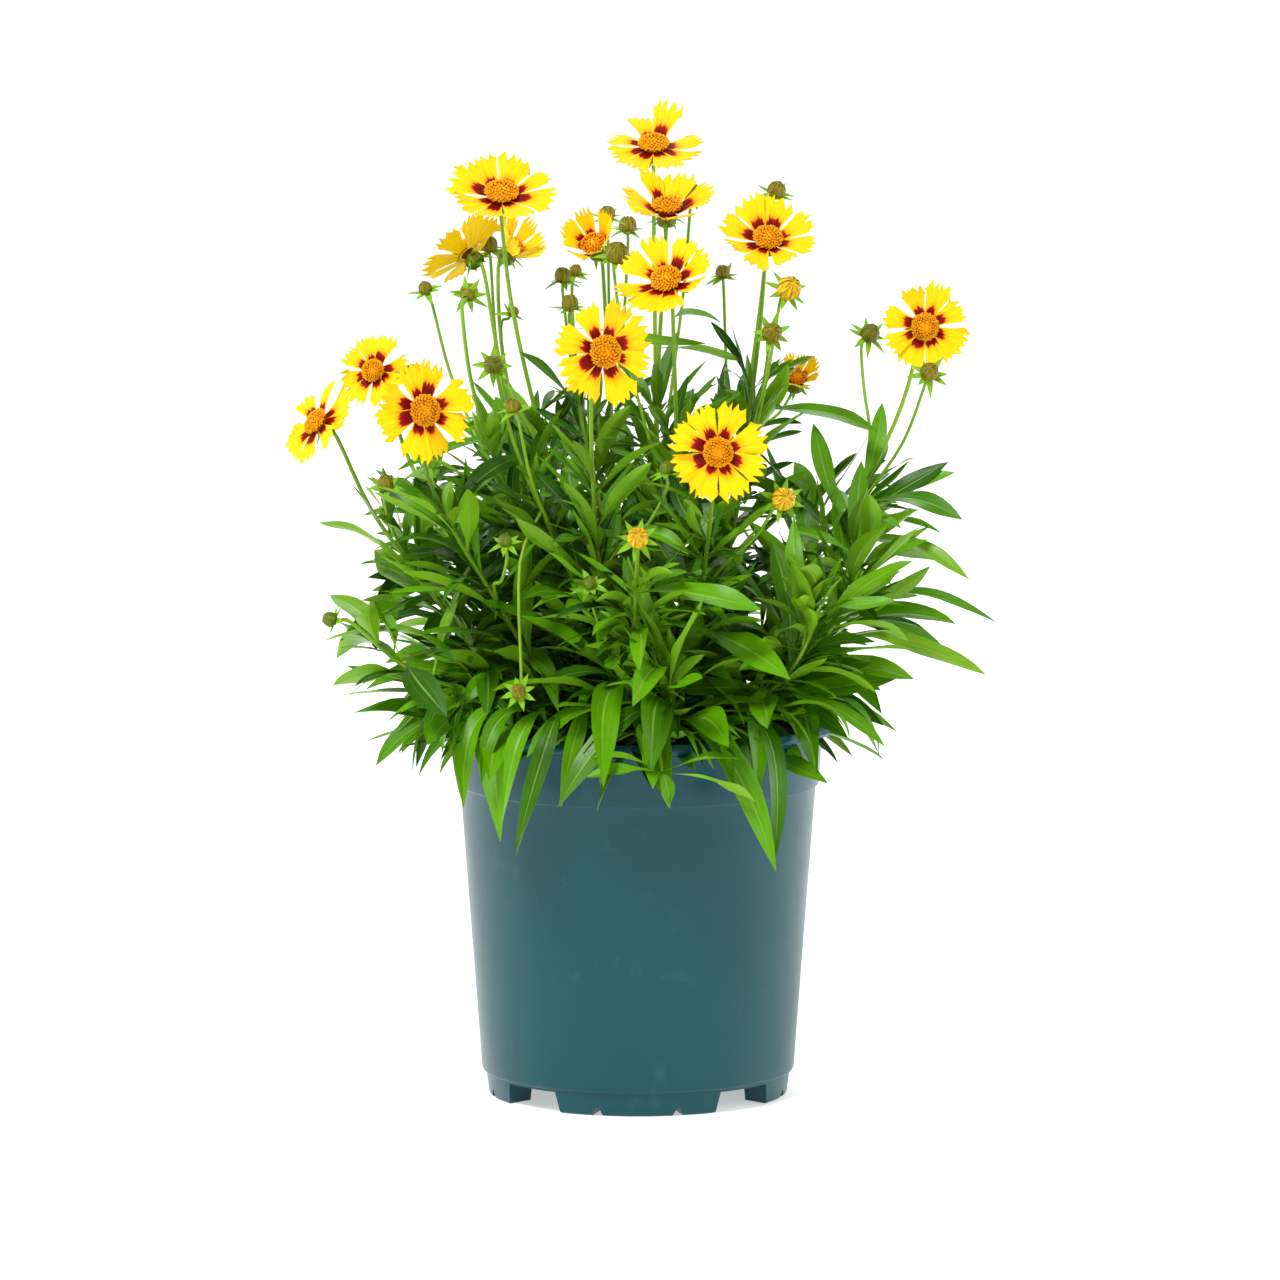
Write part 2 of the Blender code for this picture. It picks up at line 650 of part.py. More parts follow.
def grow_key_leaves(stems, placed):
    """The leaves of KEY_LEAVES, each from the stem that its length suits best."""
    leaves = []
    for x, y, z, width, arch in KEY_LEAVES:
        tip = Vector((x, y, z))
        starts = []
        for name, path in stems.items():
            for i in range(26):
                base, along = stem_point(path, path[1].z + 6 + 7 * i)
                gap = (tip - base).length
                inward = math.hypot(x, y) - math.hypot(base.x, base.y)
                if 30 < gap < 92 and inward > 4:
                    starts.append((abs(gap - 56) + 0.5 * abs(base.z - z - 6), name, base))
        starts.sort(key=lambda s: s[0])
        for _, name, base in starts[:40]:
            # its face is turned to the front, from whichever side it grows
            roll = KEY_ROLL if base.x > tip.x else -KEY_ROLL
            shape = (base, base.lerp(tip, 0.45) + UP * arch, tip, width, roll)
            if clear_of(Piece(name, *leaf_shape(*shape, grow=GAP)), placed):
                piece = Piece(name, *leaf_shape(*shape), shape)
                placed.append(piece)
                leaves.append(piece)
                break
        else:
            print("no room for the leaf at", x, y, z)
    return leaves


def grow_leaves(shoot, path, placed, rng):
    """The pairs of leaves up a shoot's stem, each bent clear of the other nodes."""
    leaves = []
    low = path[1].z
    for pair in range(shoot.leaves):
        share = (pair + 0.25) / shoot.leaves
        base, along = stem_point(path, low + (shoot.top - low) * share)
        outward = math.atan2(base.y, base.x)
        for k in range(2):
            azimuth = outward + math.pi * k + (pair % 2) * math.pi / 2 + rng.uniform(-0.5, 0.5)
            length = shoot.length * (1.05 - 0.45 * share) * rng.uniform(0.85, 1.1)
            width = length * rng.uniform(0.17, 0.22)
            spread = shoot.lean * (1.0 - 0.5 * share)
            droop = rng.uniform(0.35, 1.0) * (1.2 - 0.9 * share)
            roll = rng.uniform(-1.0, 1.0)
            for turn, rise, bend, scale in leaf_tries():
                lean = math.radians(max(8, spread - rise))
                yaw = azimuth + math.radians(turn)
                flat = Vector((math.cos(yaw), math.sin(yaw), 0))
                set_off = (along * math.cos(lean) + flat * math.sin(lean)).normalized()
                middle = base + set_off * length * scale * 0.5
                tip = middle + (set_off - UP * droop * bend).normalized() * length * scale * 0.5
                if math.hypot(tip.x, tip.y) > REACH:
                    continue
                shape = (base, middle, tip, width, roll)
                if clear_of(Piece(shoot.name, *leaf_shape(*shape, grow=GAP)), placed):
                    piece = Piece(shoot.name, *leaf_shape(*shape), shape)
                    placed.append(piece)
                    leaves.append(piece)
                    break
    return leaves


def joined(name, pieces, material):
    """One object from overlapping pieces, by a Boolean union."""
    group = bpy.data.collections.new(name + "_pieces")
    bpy.context.scene.collection.children.link(group)
    items = [new_object(f"{name}_{i}", p.points, p.faces, material) for i, p in enumerate(pieces)]
    first, rest = items[0], items[1:]
    for item in rest:
        bpy.context.scene.collection.objects.unlink(item)
        group.objects.link(item)
    union = first.modifiers.new("union", "BOOLEAN")
    union.operation = "UNION"
    union.operand_type = "COLLECTION"
    union.collection = group
    union.solver = "MANIFOLD"
    bpy.context.view_layer.objects.active = first
    bpy.ops.object.modifier_apply(modifier=union.name)
    for item in rest:
        bpy.data.objects.remove(item)
    bpy.data.collections.remove(group)
    flat = first.modifiers.new("flat", "DECIMATE")
    flat.decimate_type = "DISSOLVE"
    flat.angle_limit = math.radians(FLAT_DEG)
    bpy.ops.object.modifier_apply(modifier=flat.name)
    first.name = name
    return first


def turned(name, profile, sides, material):
    """A solid turned from a closed profile of (radius, height) points, lowest outer point first."""
    points = []
    faces = []
    for k in range(sides):
        turn = 2 * math.pi * (k + 0.5) / sides
        points += [Vector((r * math.cos(turn), r * math.sin(turn), z)) for r, z in profile]
    n = len(profile)
    for k in range(sides):
        here, after = n * k, n * ((k + 1) % sides)
        faces += [(here + i, after + i, after + i + 1, here + i + 1) for i in range(n - 1)]
    top, bottom = len(points), len(points) + 1
    points += [Vector((0, 0, profile[-1][1])), Vector((0, 0, profile[0][1]))]
    for k in range(sides):
        here, after = n * k, n * ((k + 1) % sides)
        faces += [(here + n - 1, after + n - 1, top), (after, here, bottom)]
    return new_object(name, points, faces, material)


def cut(item, cutter, operation="DIFFERENCE"):
    """Applies one Boolean to item and removes the cutter."""
    change = item.modifiers.new("cut", "BOOLEAN")
    change.operation = operation
    change.object = cutter
    bpy.context.view_layer.objects.active = item
    bpy.ops.object.modifier_apply(modifier=change.name)
    bpy.data.objects.remove(cutter)


def block(centre, size, turn, taper=1.0):
    """A cutter with four upright sides, turned about Z; taper narrows its top."""
    points = []
    for z, share in ((-0.5, 1.0), (0.5, taper)):
        for x, y in ((-0.5, -0.5), (0.5, -0.5), (0.5, 0.5), (-0.5, 0.5)):
            flat = Vector((x * size[0], y * size[1] * share, z * size[2]))
            flat.rotate(turned_by(turn))
            points.append(centre + flat)
    faces = [(3, 2, 1, 0), (4, 5, 6, 7), (0, 1, 5, 4), (1, 2, 6, 5), (2, 3, 7, 6), (3, 0, 4, 7)]
    return points, faces


def turned_by(turn):
    """A rotation about Z as a quaternion."""
    return Vector((1, 0, 0)).rotation_difference(Vector((math.cos(turn), math.sin(turn), 0)))


def make_pot(material):
    """The moulded pot: tapered wall, ledge, band and flared lip, on four feet."""
    inner_low = FOOT_HEIGHT + BASE_THICKNESS
    profile = (
        (FOOT_RADIUS, 0),
        (FOOT_TOP_RADIUS, FOOT_HEIGHT - 0.8),
        (WALL_BOTTOM_RADIUS, FOOT_HEIGHT + 1.2),
        (WALL_TOP_RADIUS, BAND_HEIGHT - 1.0),
        (BAND_RADIUS, BAND_HEIGHT),
        (BAND_RADIUS + 1.0, LIP_HEIGHT - 1.5),
        (LIP_RADIUS - 0.6, LIP_HEIGHT + 0.6),
        (LIP_RADIUS, LIP_HEIGHT + 2.4),
        (LIP_RADIUS - 0.8, POT_HEIGHT),
        (LIP_RADIUS - 4.6, POT_HEIGHT - 0.6),
        (BAND_RADIUS + 1.0 - WALL, LIP_HEIGHT - 1.0),
        (WALL_TOP_RADIUS - WALL, BAND_HEIGHT),
        (WALL_BOTTOM_RADIUS - WALL, inner_low + 1.5),
        (WALL_BOTTOM_RADIUS - WALL - 2.5, inner_low),
    )
    pot = turned("pot", profile, POT_SIDES, material)
    recess = ((FOOT_RADIUS - FOOT_RING_WIDTH, -1), (FOOT_RADIUS - FOOT_RING_WIDTH, FOOT_HEIGHT))
    cut(pot, turned("recess", recess, POT_SIDES, material))
    for k in range(FOOT_COUNT):
        turn = 2 * math.pi * (k + 0.5) / FOOT_COUNT
        out = Vector((math.cos(turn), math.sin(turn), 0))
        chord = 2 * FOOT_RADIUS * math.sin(math.radians(FOOT_GAP_DEG / 2))
        middle = out * (FOOT_RADIUS - 5) + UP * (FOOT_HEIGHT / 2 - 2)
        points, faces = block(middle, (26, chord, FOOT_HEIGHT + 2), turn, 0.86)
        cut(pot, new_object("foot_gap", points, faces, material))
        for angle in NOTCH_ANGLES:
            turn_notch = 2 * math.pi * k / FOOT_COUNT + math.radians(angle)
            out = Vector((math.cos(turn_notch), math.sin(turn_notch), 0))
            middle = out * (FOOT_RADIUS - 5) + UP * (NOTCH_HEIGHT / 2 - 0.5)
            points, faces = block(middle, (26, NOTCH_WIDTH, NOTCH_HEIGHT + 1), turn_notch, 0.3)
            cut(pot, new_object("notch", points, faces, material))
        drain = ((DRAIN_RADIUS, FOOT_HEIGHT - 3), (DRAIN_RADIUS, inner_low + 3))
        turn = 2 * math.pi * k / FOOT_COUNT
        hole = turned("drain", drain, 8, material)
        hole.location = Vector((math.cos(turn), math.sin(turn), 0)) * DRAIN_RING * MM
        bpy.context.view_layer.update()
        cut(pot, hole)
    return pot


def make_soil(spots, material):
    """The potting soil, with a plain hole for each shoot's root."""
    low = FOOT_HEIGHT + BASE_THICKNESS + GAP
    slope = (WALL_TOP_RADIUS - WALL_BOTTOM_RADIUS) / (BAND_HEIGHT - FOOT_HEIGHT)
    rim = WALL_TOP_RADIUS - WALL - 0.6
    profile = (
        (WALL_BOTTOM_RADIUS - WALL - 3.4, low),
        (WALL_BOTTOM_RADIUS - WALL - 0.9 + slope * 2, low + 3.5),
        (rim, BAND_HEIGHT),
        (rim + 0.4, SOIL_TOP),
        (rim * 0.72, soil_height(rim * 0.72, 0)),
        (rim * 0.4, soil_height(rim * 0.4, 0)),
    )
    soil = turned("soil", profile, SOIL_SIDES, material)
    for spot in spots:
        top = soil_height(spot.x, spot.y)
        hole = ((ROOT_HOLE_RADIUS, top - ROOT_DEPTH - 1), (ROOT_HOLE_RADIUS, top + 5))
        drill = turned("hole", hole, 5, material)
        drill.location = spot * MM
        bpy.context.view_layer.update()
        cut(soil, drill)
    return soil


def smooth(item):
    """Round sides shaded smooth, edges left sharp."""
    for face in item.data.polygons:
        face.use_smooth = True
    item.data.set_sharp_from_angle(angle=math.radians(SHARP_DEG))


def main():
    for item in list(bpy.data.objects):
        bpy.data.objects.remove(item)
    pot = make_pot(finish("pot", POT_TEAL))
    pot_points = [v.co / MM for v in pot.data.vertices]
    pot_piece = Piece("pot", pot_points, [tuple(f.vertices) for f in pot.data.polygons])
    placed, found, stems, order, rng = lay_out()
    placed.append(pot_piece)
    soil = make_soil(root_spots(len(SHOOTS)), finish("soil", SOIL_BROWN))
    soil_points = [v.co / MM for v in soil.data.vertices]
    placed.append(Piece("soil", soil_points, [tuple(f.vertices) for f in soil.data.polygons]))
    for leaf in grow_key_leaves(stems, placed):
        found.append(("leaf", leaf))
    for shoot in order:
        for leaf in grow_leaves(shoot, stems[shoot.name], placed, rng):
            found.append(("leaf", leaf))
    for kind, piece in found:
        if kind in HEAD_LOOKS:
            look = finish(piece.node, HEAD_LOOKS[kind])
            new_object(piece.node, piece.points, piece.faces, look)
    for shoot in SHOOTS:
        look = finish(shoot.name, LEAF_GREEN)
        joined(shoot.name, [p for _, p in found if p.node == shoot.name], look)
    for item in (pot, soil):
        smooth(item)


main()
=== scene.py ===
"""A coreopsis in its nursery pot, dressed over its solids: fine leaves, blooms, buds, soil and pot."""

import json
import math
import random
from collections import namedtuple

import bpy
from mathutils import Matrix, Vector, noise
from mathutils.bvhtree import BVHTree

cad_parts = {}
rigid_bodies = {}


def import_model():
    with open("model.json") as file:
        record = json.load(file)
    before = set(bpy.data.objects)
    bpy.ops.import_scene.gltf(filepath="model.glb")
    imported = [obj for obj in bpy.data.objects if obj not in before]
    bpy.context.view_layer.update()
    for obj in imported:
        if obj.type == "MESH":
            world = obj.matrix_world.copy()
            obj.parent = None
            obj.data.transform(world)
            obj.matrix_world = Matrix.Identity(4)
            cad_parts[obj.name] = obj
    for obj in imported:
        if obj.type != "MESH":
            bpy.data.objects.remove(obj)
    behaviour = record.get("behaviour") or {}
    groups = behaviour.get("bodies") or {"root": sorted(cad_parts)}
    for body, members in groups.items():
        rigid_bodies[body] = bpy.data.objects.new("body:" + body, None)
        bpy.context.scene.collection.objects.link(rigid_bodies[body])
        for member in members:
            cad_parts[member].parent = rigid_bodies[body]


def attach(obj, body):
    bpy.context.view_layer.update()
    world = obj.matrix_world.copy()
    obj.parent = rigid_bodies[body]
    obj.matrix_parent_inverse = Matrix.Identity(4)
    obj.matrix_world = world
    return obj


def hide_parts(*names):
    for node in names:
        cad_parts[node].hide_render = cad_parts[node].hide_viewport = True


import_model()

bl_info = {
    "name": "Potted coreopsis",
    "version": (1, 0, 0),
    "blender": (4, 5, 0),
    "location": "3D View > Sidebar > Coreopsis",
    "description": "Builds a flowering coreopsis in its nursery pot, piece by piece",
    "category": "Add Mesh",
}

MM = 0.001
UP = Vector((0, 0, 1))
GAP = 0.3

# Pot: outer radii and heights, from the floor up
FOOT_RADIUS = 57.6
FOOT_TOP_RADIUS = 58.6
FOOT_HEIGHT = 9.0
WALL_BOTTOM_RADIUS = 60.3
WALL_TOP_RADIUS = 68.6
BAND_HEIGHT = 121.0
BAND_RADIUS = 69.8
LIP_HEIGHT = 141.0
LIP_RADIUS = 76.5
POT_HEIGHT = 145.5
WALL = 1.8
BASE_THICKNESS = 2.0
FOOT_COUNT = 4
FOOT_GAP_DEG = 29.0
FOOT_RING_WIDTH = 11.0
NOTCH_WIDTH = 5.0
NOTCH_HEIGHT = 2.8
NOTCH_ANGLES = (-15.5, 15.5)
DRAIN_RADIUS = 5.0
DRAIN_RING = 36.0

# Soil: fills the pot to a little under its rim
SOIL_TOP = 134.0
SOIL_CROWN = 2.5
ROOT_DEPTH = 16.0
ROOT_FIELD_RADIUS = 47.0

# Stems, bracts and discs
STEM_SIDES = 3
STEM_RADIUS = 1.2
PEDUNCLE_RADIUS = 0.8
NECK = 8.0
DISC_SIDES = 8
BUD_SIDES = 5
BRACTS = 5
BUD_RISE = 1.45

# Petals
PETAL_COUNT = 8
PETAL_THICKNESS = 0.7
HUB_SHARE = 0.26
DISC_RISE = 0.72
DISC_START = -0.4

# Leaves
LEAF_THICKNESS = 1.2
LEAF_STATIONS = ((0.0, 0.24), (0.5, 1.0))
LONG_STATIONS = ((0.0, 0.20), (0.34, 0.92), (0.68, 0.86))
LONG_LEAF = 62.0
REACH = 124.0
KEY_ROLL = 0.9

Head = namedtuple("Head", "name kind x y z azimuth elevation radius")
Shoot = namedtuple("Shoot", "name heads x y top leaves length lean")

# Each head's centre, the way it faces (azimuth 0 is the front, 90 is +X) and its radius
HEADS = {
    h.name: h
    for h in (
        Head("bloom_top", "bloom", 6, 30, 363, 0, 64, 20),
        Head("bloom_left_high", "bloom", -52, -10, 348, 3, 58, 22),
        Head("bloom_left_turned", "bloom", -66, 50, 320, -125, 39, 20),
        Head("bloom_left_back", "young", -49, 78, 319, 62, 50, 17),
        Head("bloom_mid_high", "bloom", 11, -15, 343, 5, 70, 19.5),
        Head("bloom_mid_young", "young", -17, 60, 322, -25, 42, 17),
        Head("bloom_mid", "bloom", 11, -40, 318, -16, 44, 20),
        Head("bloom_right_high", "bloom", 50, 30, 327, 6, 46, 19.5),
        Head("bloom_centre", "bloom", -13, -75, 295, 24, 8, 21),
        Head("bloom_right", "bloom", 110, 5, 296, 3, 8, 18),
        Head("bloom_left", "bloom", -81, -60, 271, 24, 10, 20.5),
        Head("bloom_left_mid", "bloom", -102, 40, 275, -22, 24, 15.5),
        Head("bloom_far_left", "bloom", -122, -15, 261, -60, 36, 18.5),
        Head("bloom_front", "bloom", 30, -92, 259, 4, 8, 19),
        Head("bloom_right_young", "young", 62, 70, 269, 14, 40, 12),
        Head("bud_mid_high", "bud", -12, 72, 334, -10, 80, 2.9),
        Head("bud_mid", "bud", -8, -24, 328, 10, 50, 4.1),
        Head("bud_right_top", "bud", 54, 62, 344, 30, 60, 3.4),
        Head("bud_right_low", "bud", 33, 82, 310, -10, 70, 2.7),
        Head("bud_right_big", "bud", 58, -20, 314, 25, 35, 4.4),
        Head("bud_right_mid", "bud", 51, -32, 298, 5, 25, 3.7),
        Head("bud_pair_left", "bud", -29, 20, 315, -5, 75, 3.0),
        Head("bud_pair_right", "bud", -24, 48, 314, 20, 60, 2.2),
        Head("bud_pair_low", "bud", -26, -6, 307, 0, 75, 3.1),
        Head("bud_left_far", "bud", -82, 20, 310, -40, 60, 2.5),
        Head("bud_left_back", "bud", -64, -26, 313, 160, 35, 3.4),
        Head("bud_left_small", "bud", -48, 46, 298, 60, 50, 2.0),
        Head("bud_star", "bud", -55, -45, 287, -5, 12, 3.4),
        Head("bud_left_low", "bud", -96, -35, 241, 5, 60, 2.9),
        Head("bud_left_hid", "bud", -87, 18, 278, -10, 70, 2.6),
        Head("bud_leafy_left", "bud", -47, -76, 275, -30, 60, 2.8),
        Head("bud_right_near", "bud", 90, 35, 291, 30, 45, 3.5),
        Head("bud_right_side", "bud", 111, -30, 283, 10, 35, 3.4),
        Head("bud_orange_right", "bud", 55, -88, 241, 15, 15, 4.2),
        Head("bud_orange_mid", "bud", 0, -108, 229, 0, 25, 3.8),
        Head("bud_green_mid", "bud", 11, -86, 253, 10, 75, 2.8),
        Head("bud_small_mid", "bud", -18, -98, 211, 0, 45, 2.4),
        Head("bud_small_left", "bud", -65, -84, 192, -30, 30, 2.4),
        Head("bud_leaf_left", "bud", -50, -90, 226, -10, 60, 2.4),
        Head("bud_low_left", "bud", -118, -32, 188, -80, 12, 2.8),
        Head("bud_left_upper", "bud", -58, 62, 323, -20, 75, 3.2),
        Head("bud_behind_mid", "bud", 21, 52, 344, 15, 70, 3.4),
        Head("bud_back_mid", "bud", -4, 88, 328, 0, 80, 3.4),
        Head("bud_spent", "bud", -45, -100, 170, -10, 20, 2.6),
    )
}

# Each shoot's heads (the first ends its stem), where its foliage leans to, how high it goes,
# its pairs of leaves, their longest length, and how far they spread from the stem in degrees
SHOOTS = (
    Shoot("shoot_top", ("bloom_top", "bud_behind_mid"), 5, 32, 262, 4, 60, 50),
    Shoot("shoot_left_high", ("bloom_left_high",), -34, -8, 262, 4, 62, 52),
    Shoot("shoot_left_turned", ("bloom_left_turned", "bud_left_upper"), -52, 34, 250, 4, 62, 55),
    Shoot("shoot_left_back", ("bloom_left_back", "bud_left_small"), -36, 62, 246, 4, 64, 55),
    Shoot("shoot_mid_high", ("bloom_mid_high",), 10, -14, 270, 3, 56, 48),
    Shoot("shoot_mid_young", ("bloom_mid_young", "bud_mid_high", "bud_back_mid"), -12, 48, 256, 3, 58, 50),
    Shoot("shoot_mid", ("bloom_mid", "bud_mid"), 12, -40, 262, 4, 60, 52),
    Shoot("shoot_right_high", ("bloom_right_high", "bud_right_big", "bud_right_mid"), 42, 4, 270, 4, 60, 52),
    Shoot(
        "shoot_right_back", ("bud_right_top", "bud_right_low", "bloom_right_young"), 44, 56, 252, 4, 64, 55
    ),
    Shoot("shoot_centre", ("bloom_centre", "bud_green_mid"), -12, -66, 244, 4, 60, 58),
    Shoot("shoot_right", ("bloom_right", "bud_right_side", "bud_right_near"), 74, -6, 232, 5, 68, 58),
    Shoot("shoot_left", ("bloom_left", "bud_leaf_left"), -56, -50, 232, 4, 66, 58),
    Shoot("shoot_left_mid", ("bloom_left_mid", "bud_left_hid"), -70, 26, 228, 4, 66, 58),
    Shoot("shoot_far_left", ("bloom_far_left", "bud_left_low"), -78, -14, 218, 5, 68, 58),
    Shoot("shoot_front", ("bloom_front", "bud_orange_right"), 36, -70, 232, 4, 66, 58),
    Shoot("shoot_pair", ("bud_pair_low", "bud_pair_left", "bud_pair_right"), -22, 6, 268, 3, 56, 48),
    Shoot("shoot_buds_left", ("bud_left_back", "bud_left_far"), -44, 10, 256, 3, 60, 52),
    Shoot("shoot_star", ("bud_star", "bud_leafy_left", "bud_spent"), -34, -50, 240, 3, 62, 56),
    Shoot("shoot_orange", ("bud_orange_mid", "bud_small_mid"), -4, -84, 206, 4, 66, 62),
    Shoot("shoot_low_left", ("bud_low_left",), -70, -58, 188, 4, 72, 64),
    Shoot("leafy_front", (), 12, -80, 176, 3, 70, 66),
    Shoot("leafy_right_front", (), 66, -56, 196, 4, 74, 64),
    Shoot("leafy_right", (), 84, -22, 212, 4, 74, 62),
    Shoot("leafy_right_back", (), 68, 44, 222, 4, 72, 60),
    Shoot("leafy_back", (), 6, 82, 214, 5, 74, 62),
    Shoot("leafy_left_back", (), -62, 62, 206, 5, 74, 62),
)

# Leaves that make the outline, and the large ones of the front: the tip, width and arch of each
KEY_LEAVES = (
    (92, 0, 256, 8, 4),
    (122, 12, 239, 9, 8),
    (124, -14, 224, 9, 10),
    (121, 20, 201, 10, 10),
    (127, -6, 200, 8, 12),
    (138, 2, 182, 6, 14),
    (133, -20, 165, 10, 16),
    (120, 26, 167, 11, 16),
    (105, -40, 166, 11, 16),
    (94, 30, 152, 12, 16),
    (93, -34, 152, 10, 16),
    (93, 10, 130, 10, 18),
    (80, -36, 143, 11, 16),
    (68, -60, 132, 11, 18),
    (52, -97, 101, 11, 24),
    (45, -84, 126, 10, 18),
    (12, -98, 125, 13, 18),
    (34, -108, 150, 13, 14),
    (46, -96, 200, 13, 8),
    (57, -98, 174, 12, 12),
    (5, -118, 142, 13, 18),
    (-93, 10, 233, 8, 8),
    (-92, -24, 244, 5, 6),
    (-95, 22, 216, 9, 8),
    (-96, -20, 208, 9, 10),
    (-102, 14, 187, 10, 12),
    (-114, -12, 177, 10, 14),
    (-98, 34, 162, 11, 14),
    (-104, -18, 159, 10, 16),
    (-93, 16, 146, 10, 16),
    (-92, -16, 134, 11, 18),
    (-86, 30, 122, 10, 18),
    (-74, -52, 141, 11, 16),
    (-72, -86, 158, 12, 10),
    (-66, -64, 120, 10, 26),
    (-52, -76, 109, 12, 22),
    (-30, -94, 125, 11, 18),
    (-13, -106, 134, 12, 16),
    (-20, 124, 168, 12, 14),
    (30, 128, 150, 12, 16),
    (-2, -128, 168, 10, 14),
    (64, 100, 156, 12, 14),
    (-60, 104, 152, 12, 14),
    (32, 22, 296, 6, 4),
    (26, -18, 292, 6, 4),
    (40, 36, 280, 7, 4),
)

# How far the petals of a bloom rise towards their tips, as shares of its radius
PETAL_CUP = (-0.06, 0.22)
PETAL_CUPS = {
    "bloom_top": (0.0, 0.15),
    "bloom_left_high": (0.1, 0.3),
    "bloom_left_turned": (0.1, 0.25),
    "bloom_mid_high": (0.3, 0.5),
    "bloom_mid": (0.2, 0.4),
    "bloom_right_high": (0.2, 0.35),
    "bloom_centre": (0.0, 0.1),
    "bloom_left_back": (0.5, 0.7),
    "bloom_mid_young": (0.5, 0.7),
    "bloom_right_young": (0.5, 0.7),
}
# One petal of the top bloom stands up
RAISED_PETAL = ("bloom_top", 2, 0.48)

SHOOT_SEED = 41
CROWN_LEAF_FOLD = 1.1


def facing(azimuth, elevation):
    """The unit vector that a head at this azimuth and elevation looks along."""
    turn = math.radians(azimuth)
    rise = math.radians(elevation)
    return Vector((math.sin(turn) * math.cos(rise), -math.cos(turn) * math.cos(rise), math.sin(rise)))


def across(direction):
    """A level unit vector to the right of direction, and one upright to both."""
    side = direction.cross(UP)
    if side.length < 1e-3:
        side = Vector((1, 0, 0))
    side.normalize()
    return side, side.cross(direction).normalized()


def level(turn):
    """The level unit vector at an angle from +X."""
    return Vector((math.cos(turn), math.sin(turn), 0))


def around(side, other, turn):
    """The unit vector at an angle from side towards other."""
    return side * math.cos(turn) + other * math.sin(turn)


def centre_of(head):
    """A head's centre."""
    return Vector((head.x, head.y, head.z))


def bezier(p0, p1, p2, p3, t):
    """A point of a cubic curve."""
    u = 1 - t
    return p0 * u**3 + p1 * (3 * u * u * t) + p2 * (3 * u * t * t) + p3 * t**3


def outward(points, faces):
    """The faces wound so that they look out of the solid they close."""
    volume = 0
    for face in faces:
        for k in range(1, len(face) - 1):
            a, b, c = points[face[0]], points[face[k]], points[face[k + 1]]
            volume += a.dot(b.cross(c))
    return faces if volume > 0 else [tuple(face[::-1]) for face in faces]


def new_object(name, points, faces, material):
    """An object from points in millimetres."""
    mesh = bpy.data.meshes.new(name)
    mesh.from_pydata([p * MM for p in points], [], outward(points, faces))
    mesh.materials.append(material)
    item = bpy.data.objects.new(name, mesh)
    bpy.context.scene.collection.objects.link(item)
    return item


class Piece:
    """A closed shape of a node: its points, triangles and the tree that tests it for contact."""

    def __init__(self, node, points, faces, made_from=None):
        self.node = node
        self.made_from = made_from
        self.points = points
        self.faces = faces
        self.tree = BVHTree.FromPolygons(points, faces)
        self.low = [min(p[k] for p in points) for k in range(3)]
        self.high = [max(p[k] for p in points) for k in range(3)]

    def meets(self, other):
        """True where the two shapes' surfaces cross."""
        for k in range(3):
            if self.low[k] > other.high[k] or other.low[k] > self.high[k]:
                return False
        return bool(self.tree.overlap(other.tree))


def clear_of(piece, others):
    """True where a piece meets nothing that belongs to another node."""
    return not any(piece.meets(o) for o in others if o.node != piece.node)


def tube(path, radii, grow=0.0):
    """Points and triangles of a tube along a path, closed at both ends."""
    points = []
    sides = STEM_SIDES
    side = None
    for i, p in enumerate(path):
        ahead = path[min(i + 1, len(path) - 1)] - path[max(i - 1, 0)]
        ahead.normalize()
        if side is None:
            side = across(ahead)[0]
        side = (side - ahead * side.dot(ahead)).normalized()
        other = ahead.cross(side)
        for k in range(sides):
            turn = 2 * math.pi * k / sides
            points.append(p + around(side, other, turn) * (radii[i] + grow))
    faces = []
    for i in range(len(path) - 1):
        for k in range(sides):
            a, b = i * sides + k, i * sides + (k + 1) % sides
            faces += [(a, b, b + sides), (a, b + sides, a + sides)]
    last = (len(path) - 1) * sides
    for k in range(1, sides - 1):
        faces += [(0, k + 1, k), (last, last + k, last + k + 1)]
    return points, faces


def leaf_spine(base, middle, tip, share):
    """A point of a blade's rib and its direction, a share of the way along."""
    back = 1 - share
    here = base * back * back + middle * (2 * back * share) + tip * share * share
    ahead = (middle - base) * back + (tip - middle) * share
    return here, ahead.normalized()


def rolled(side, top, roll):
    """A blade's sideways and upper directions, turned about its length."""
    return side * math.cos(roll) + top * math.sin(roll), top * math.cos(roll) - side * math.sin(roll)


def leaf_shape(base, middle, tip, width, roll, grow=0.0):
    """Points and triangles of one lance-shaped blade, folded a little along its rib."""
    points = []
    stations = LONG_STATIONS if (tip - base).length > LONG_LEAF else LEAF_STATIONS
    for s, w in stations:
        here, ahead = leaf_spine(base, middle, tip, s)
        side, top = rolled(*across(ahead), roll * s)
        half = width * w / 2 + grow
        thick = LEAF_THICKNESS / 2 + grow
        fold = CROWN_LEAF_FOLD * w * (1 if s else 0)
        points += [here - side * half, here + top * (thick - fold)]
        points += [here + side * half, here - top * (thick + fold)]
    points.append(tip)
    faces = []
    for i in range(len(stations) - 1):
        a = 4 * i
        # the left half, then the right half, with the same diagonal above and below
        faces += [(a, a + 4, a + 5), (a, a + 5, a + 1), (a, a + 7, a + 4), (a, a + 3, a + 7)]
        faces += [(a + 1, a + 5, a + 6), (a + 1, a + 6, a + 2), (a + 3, a + 6, a + 7), (a + 3, a + 2, a + 6)]
    a = 4 * (len(stations) - 1)
    end = a + 4
    faces += [(a, end, a + 1), (a + 1, end, a + 2), (a + 2, end, a + 3), (a + 3, end, a)]
    faces += [(0, 1, 2), (0, 2, 3)]
    return points, faces


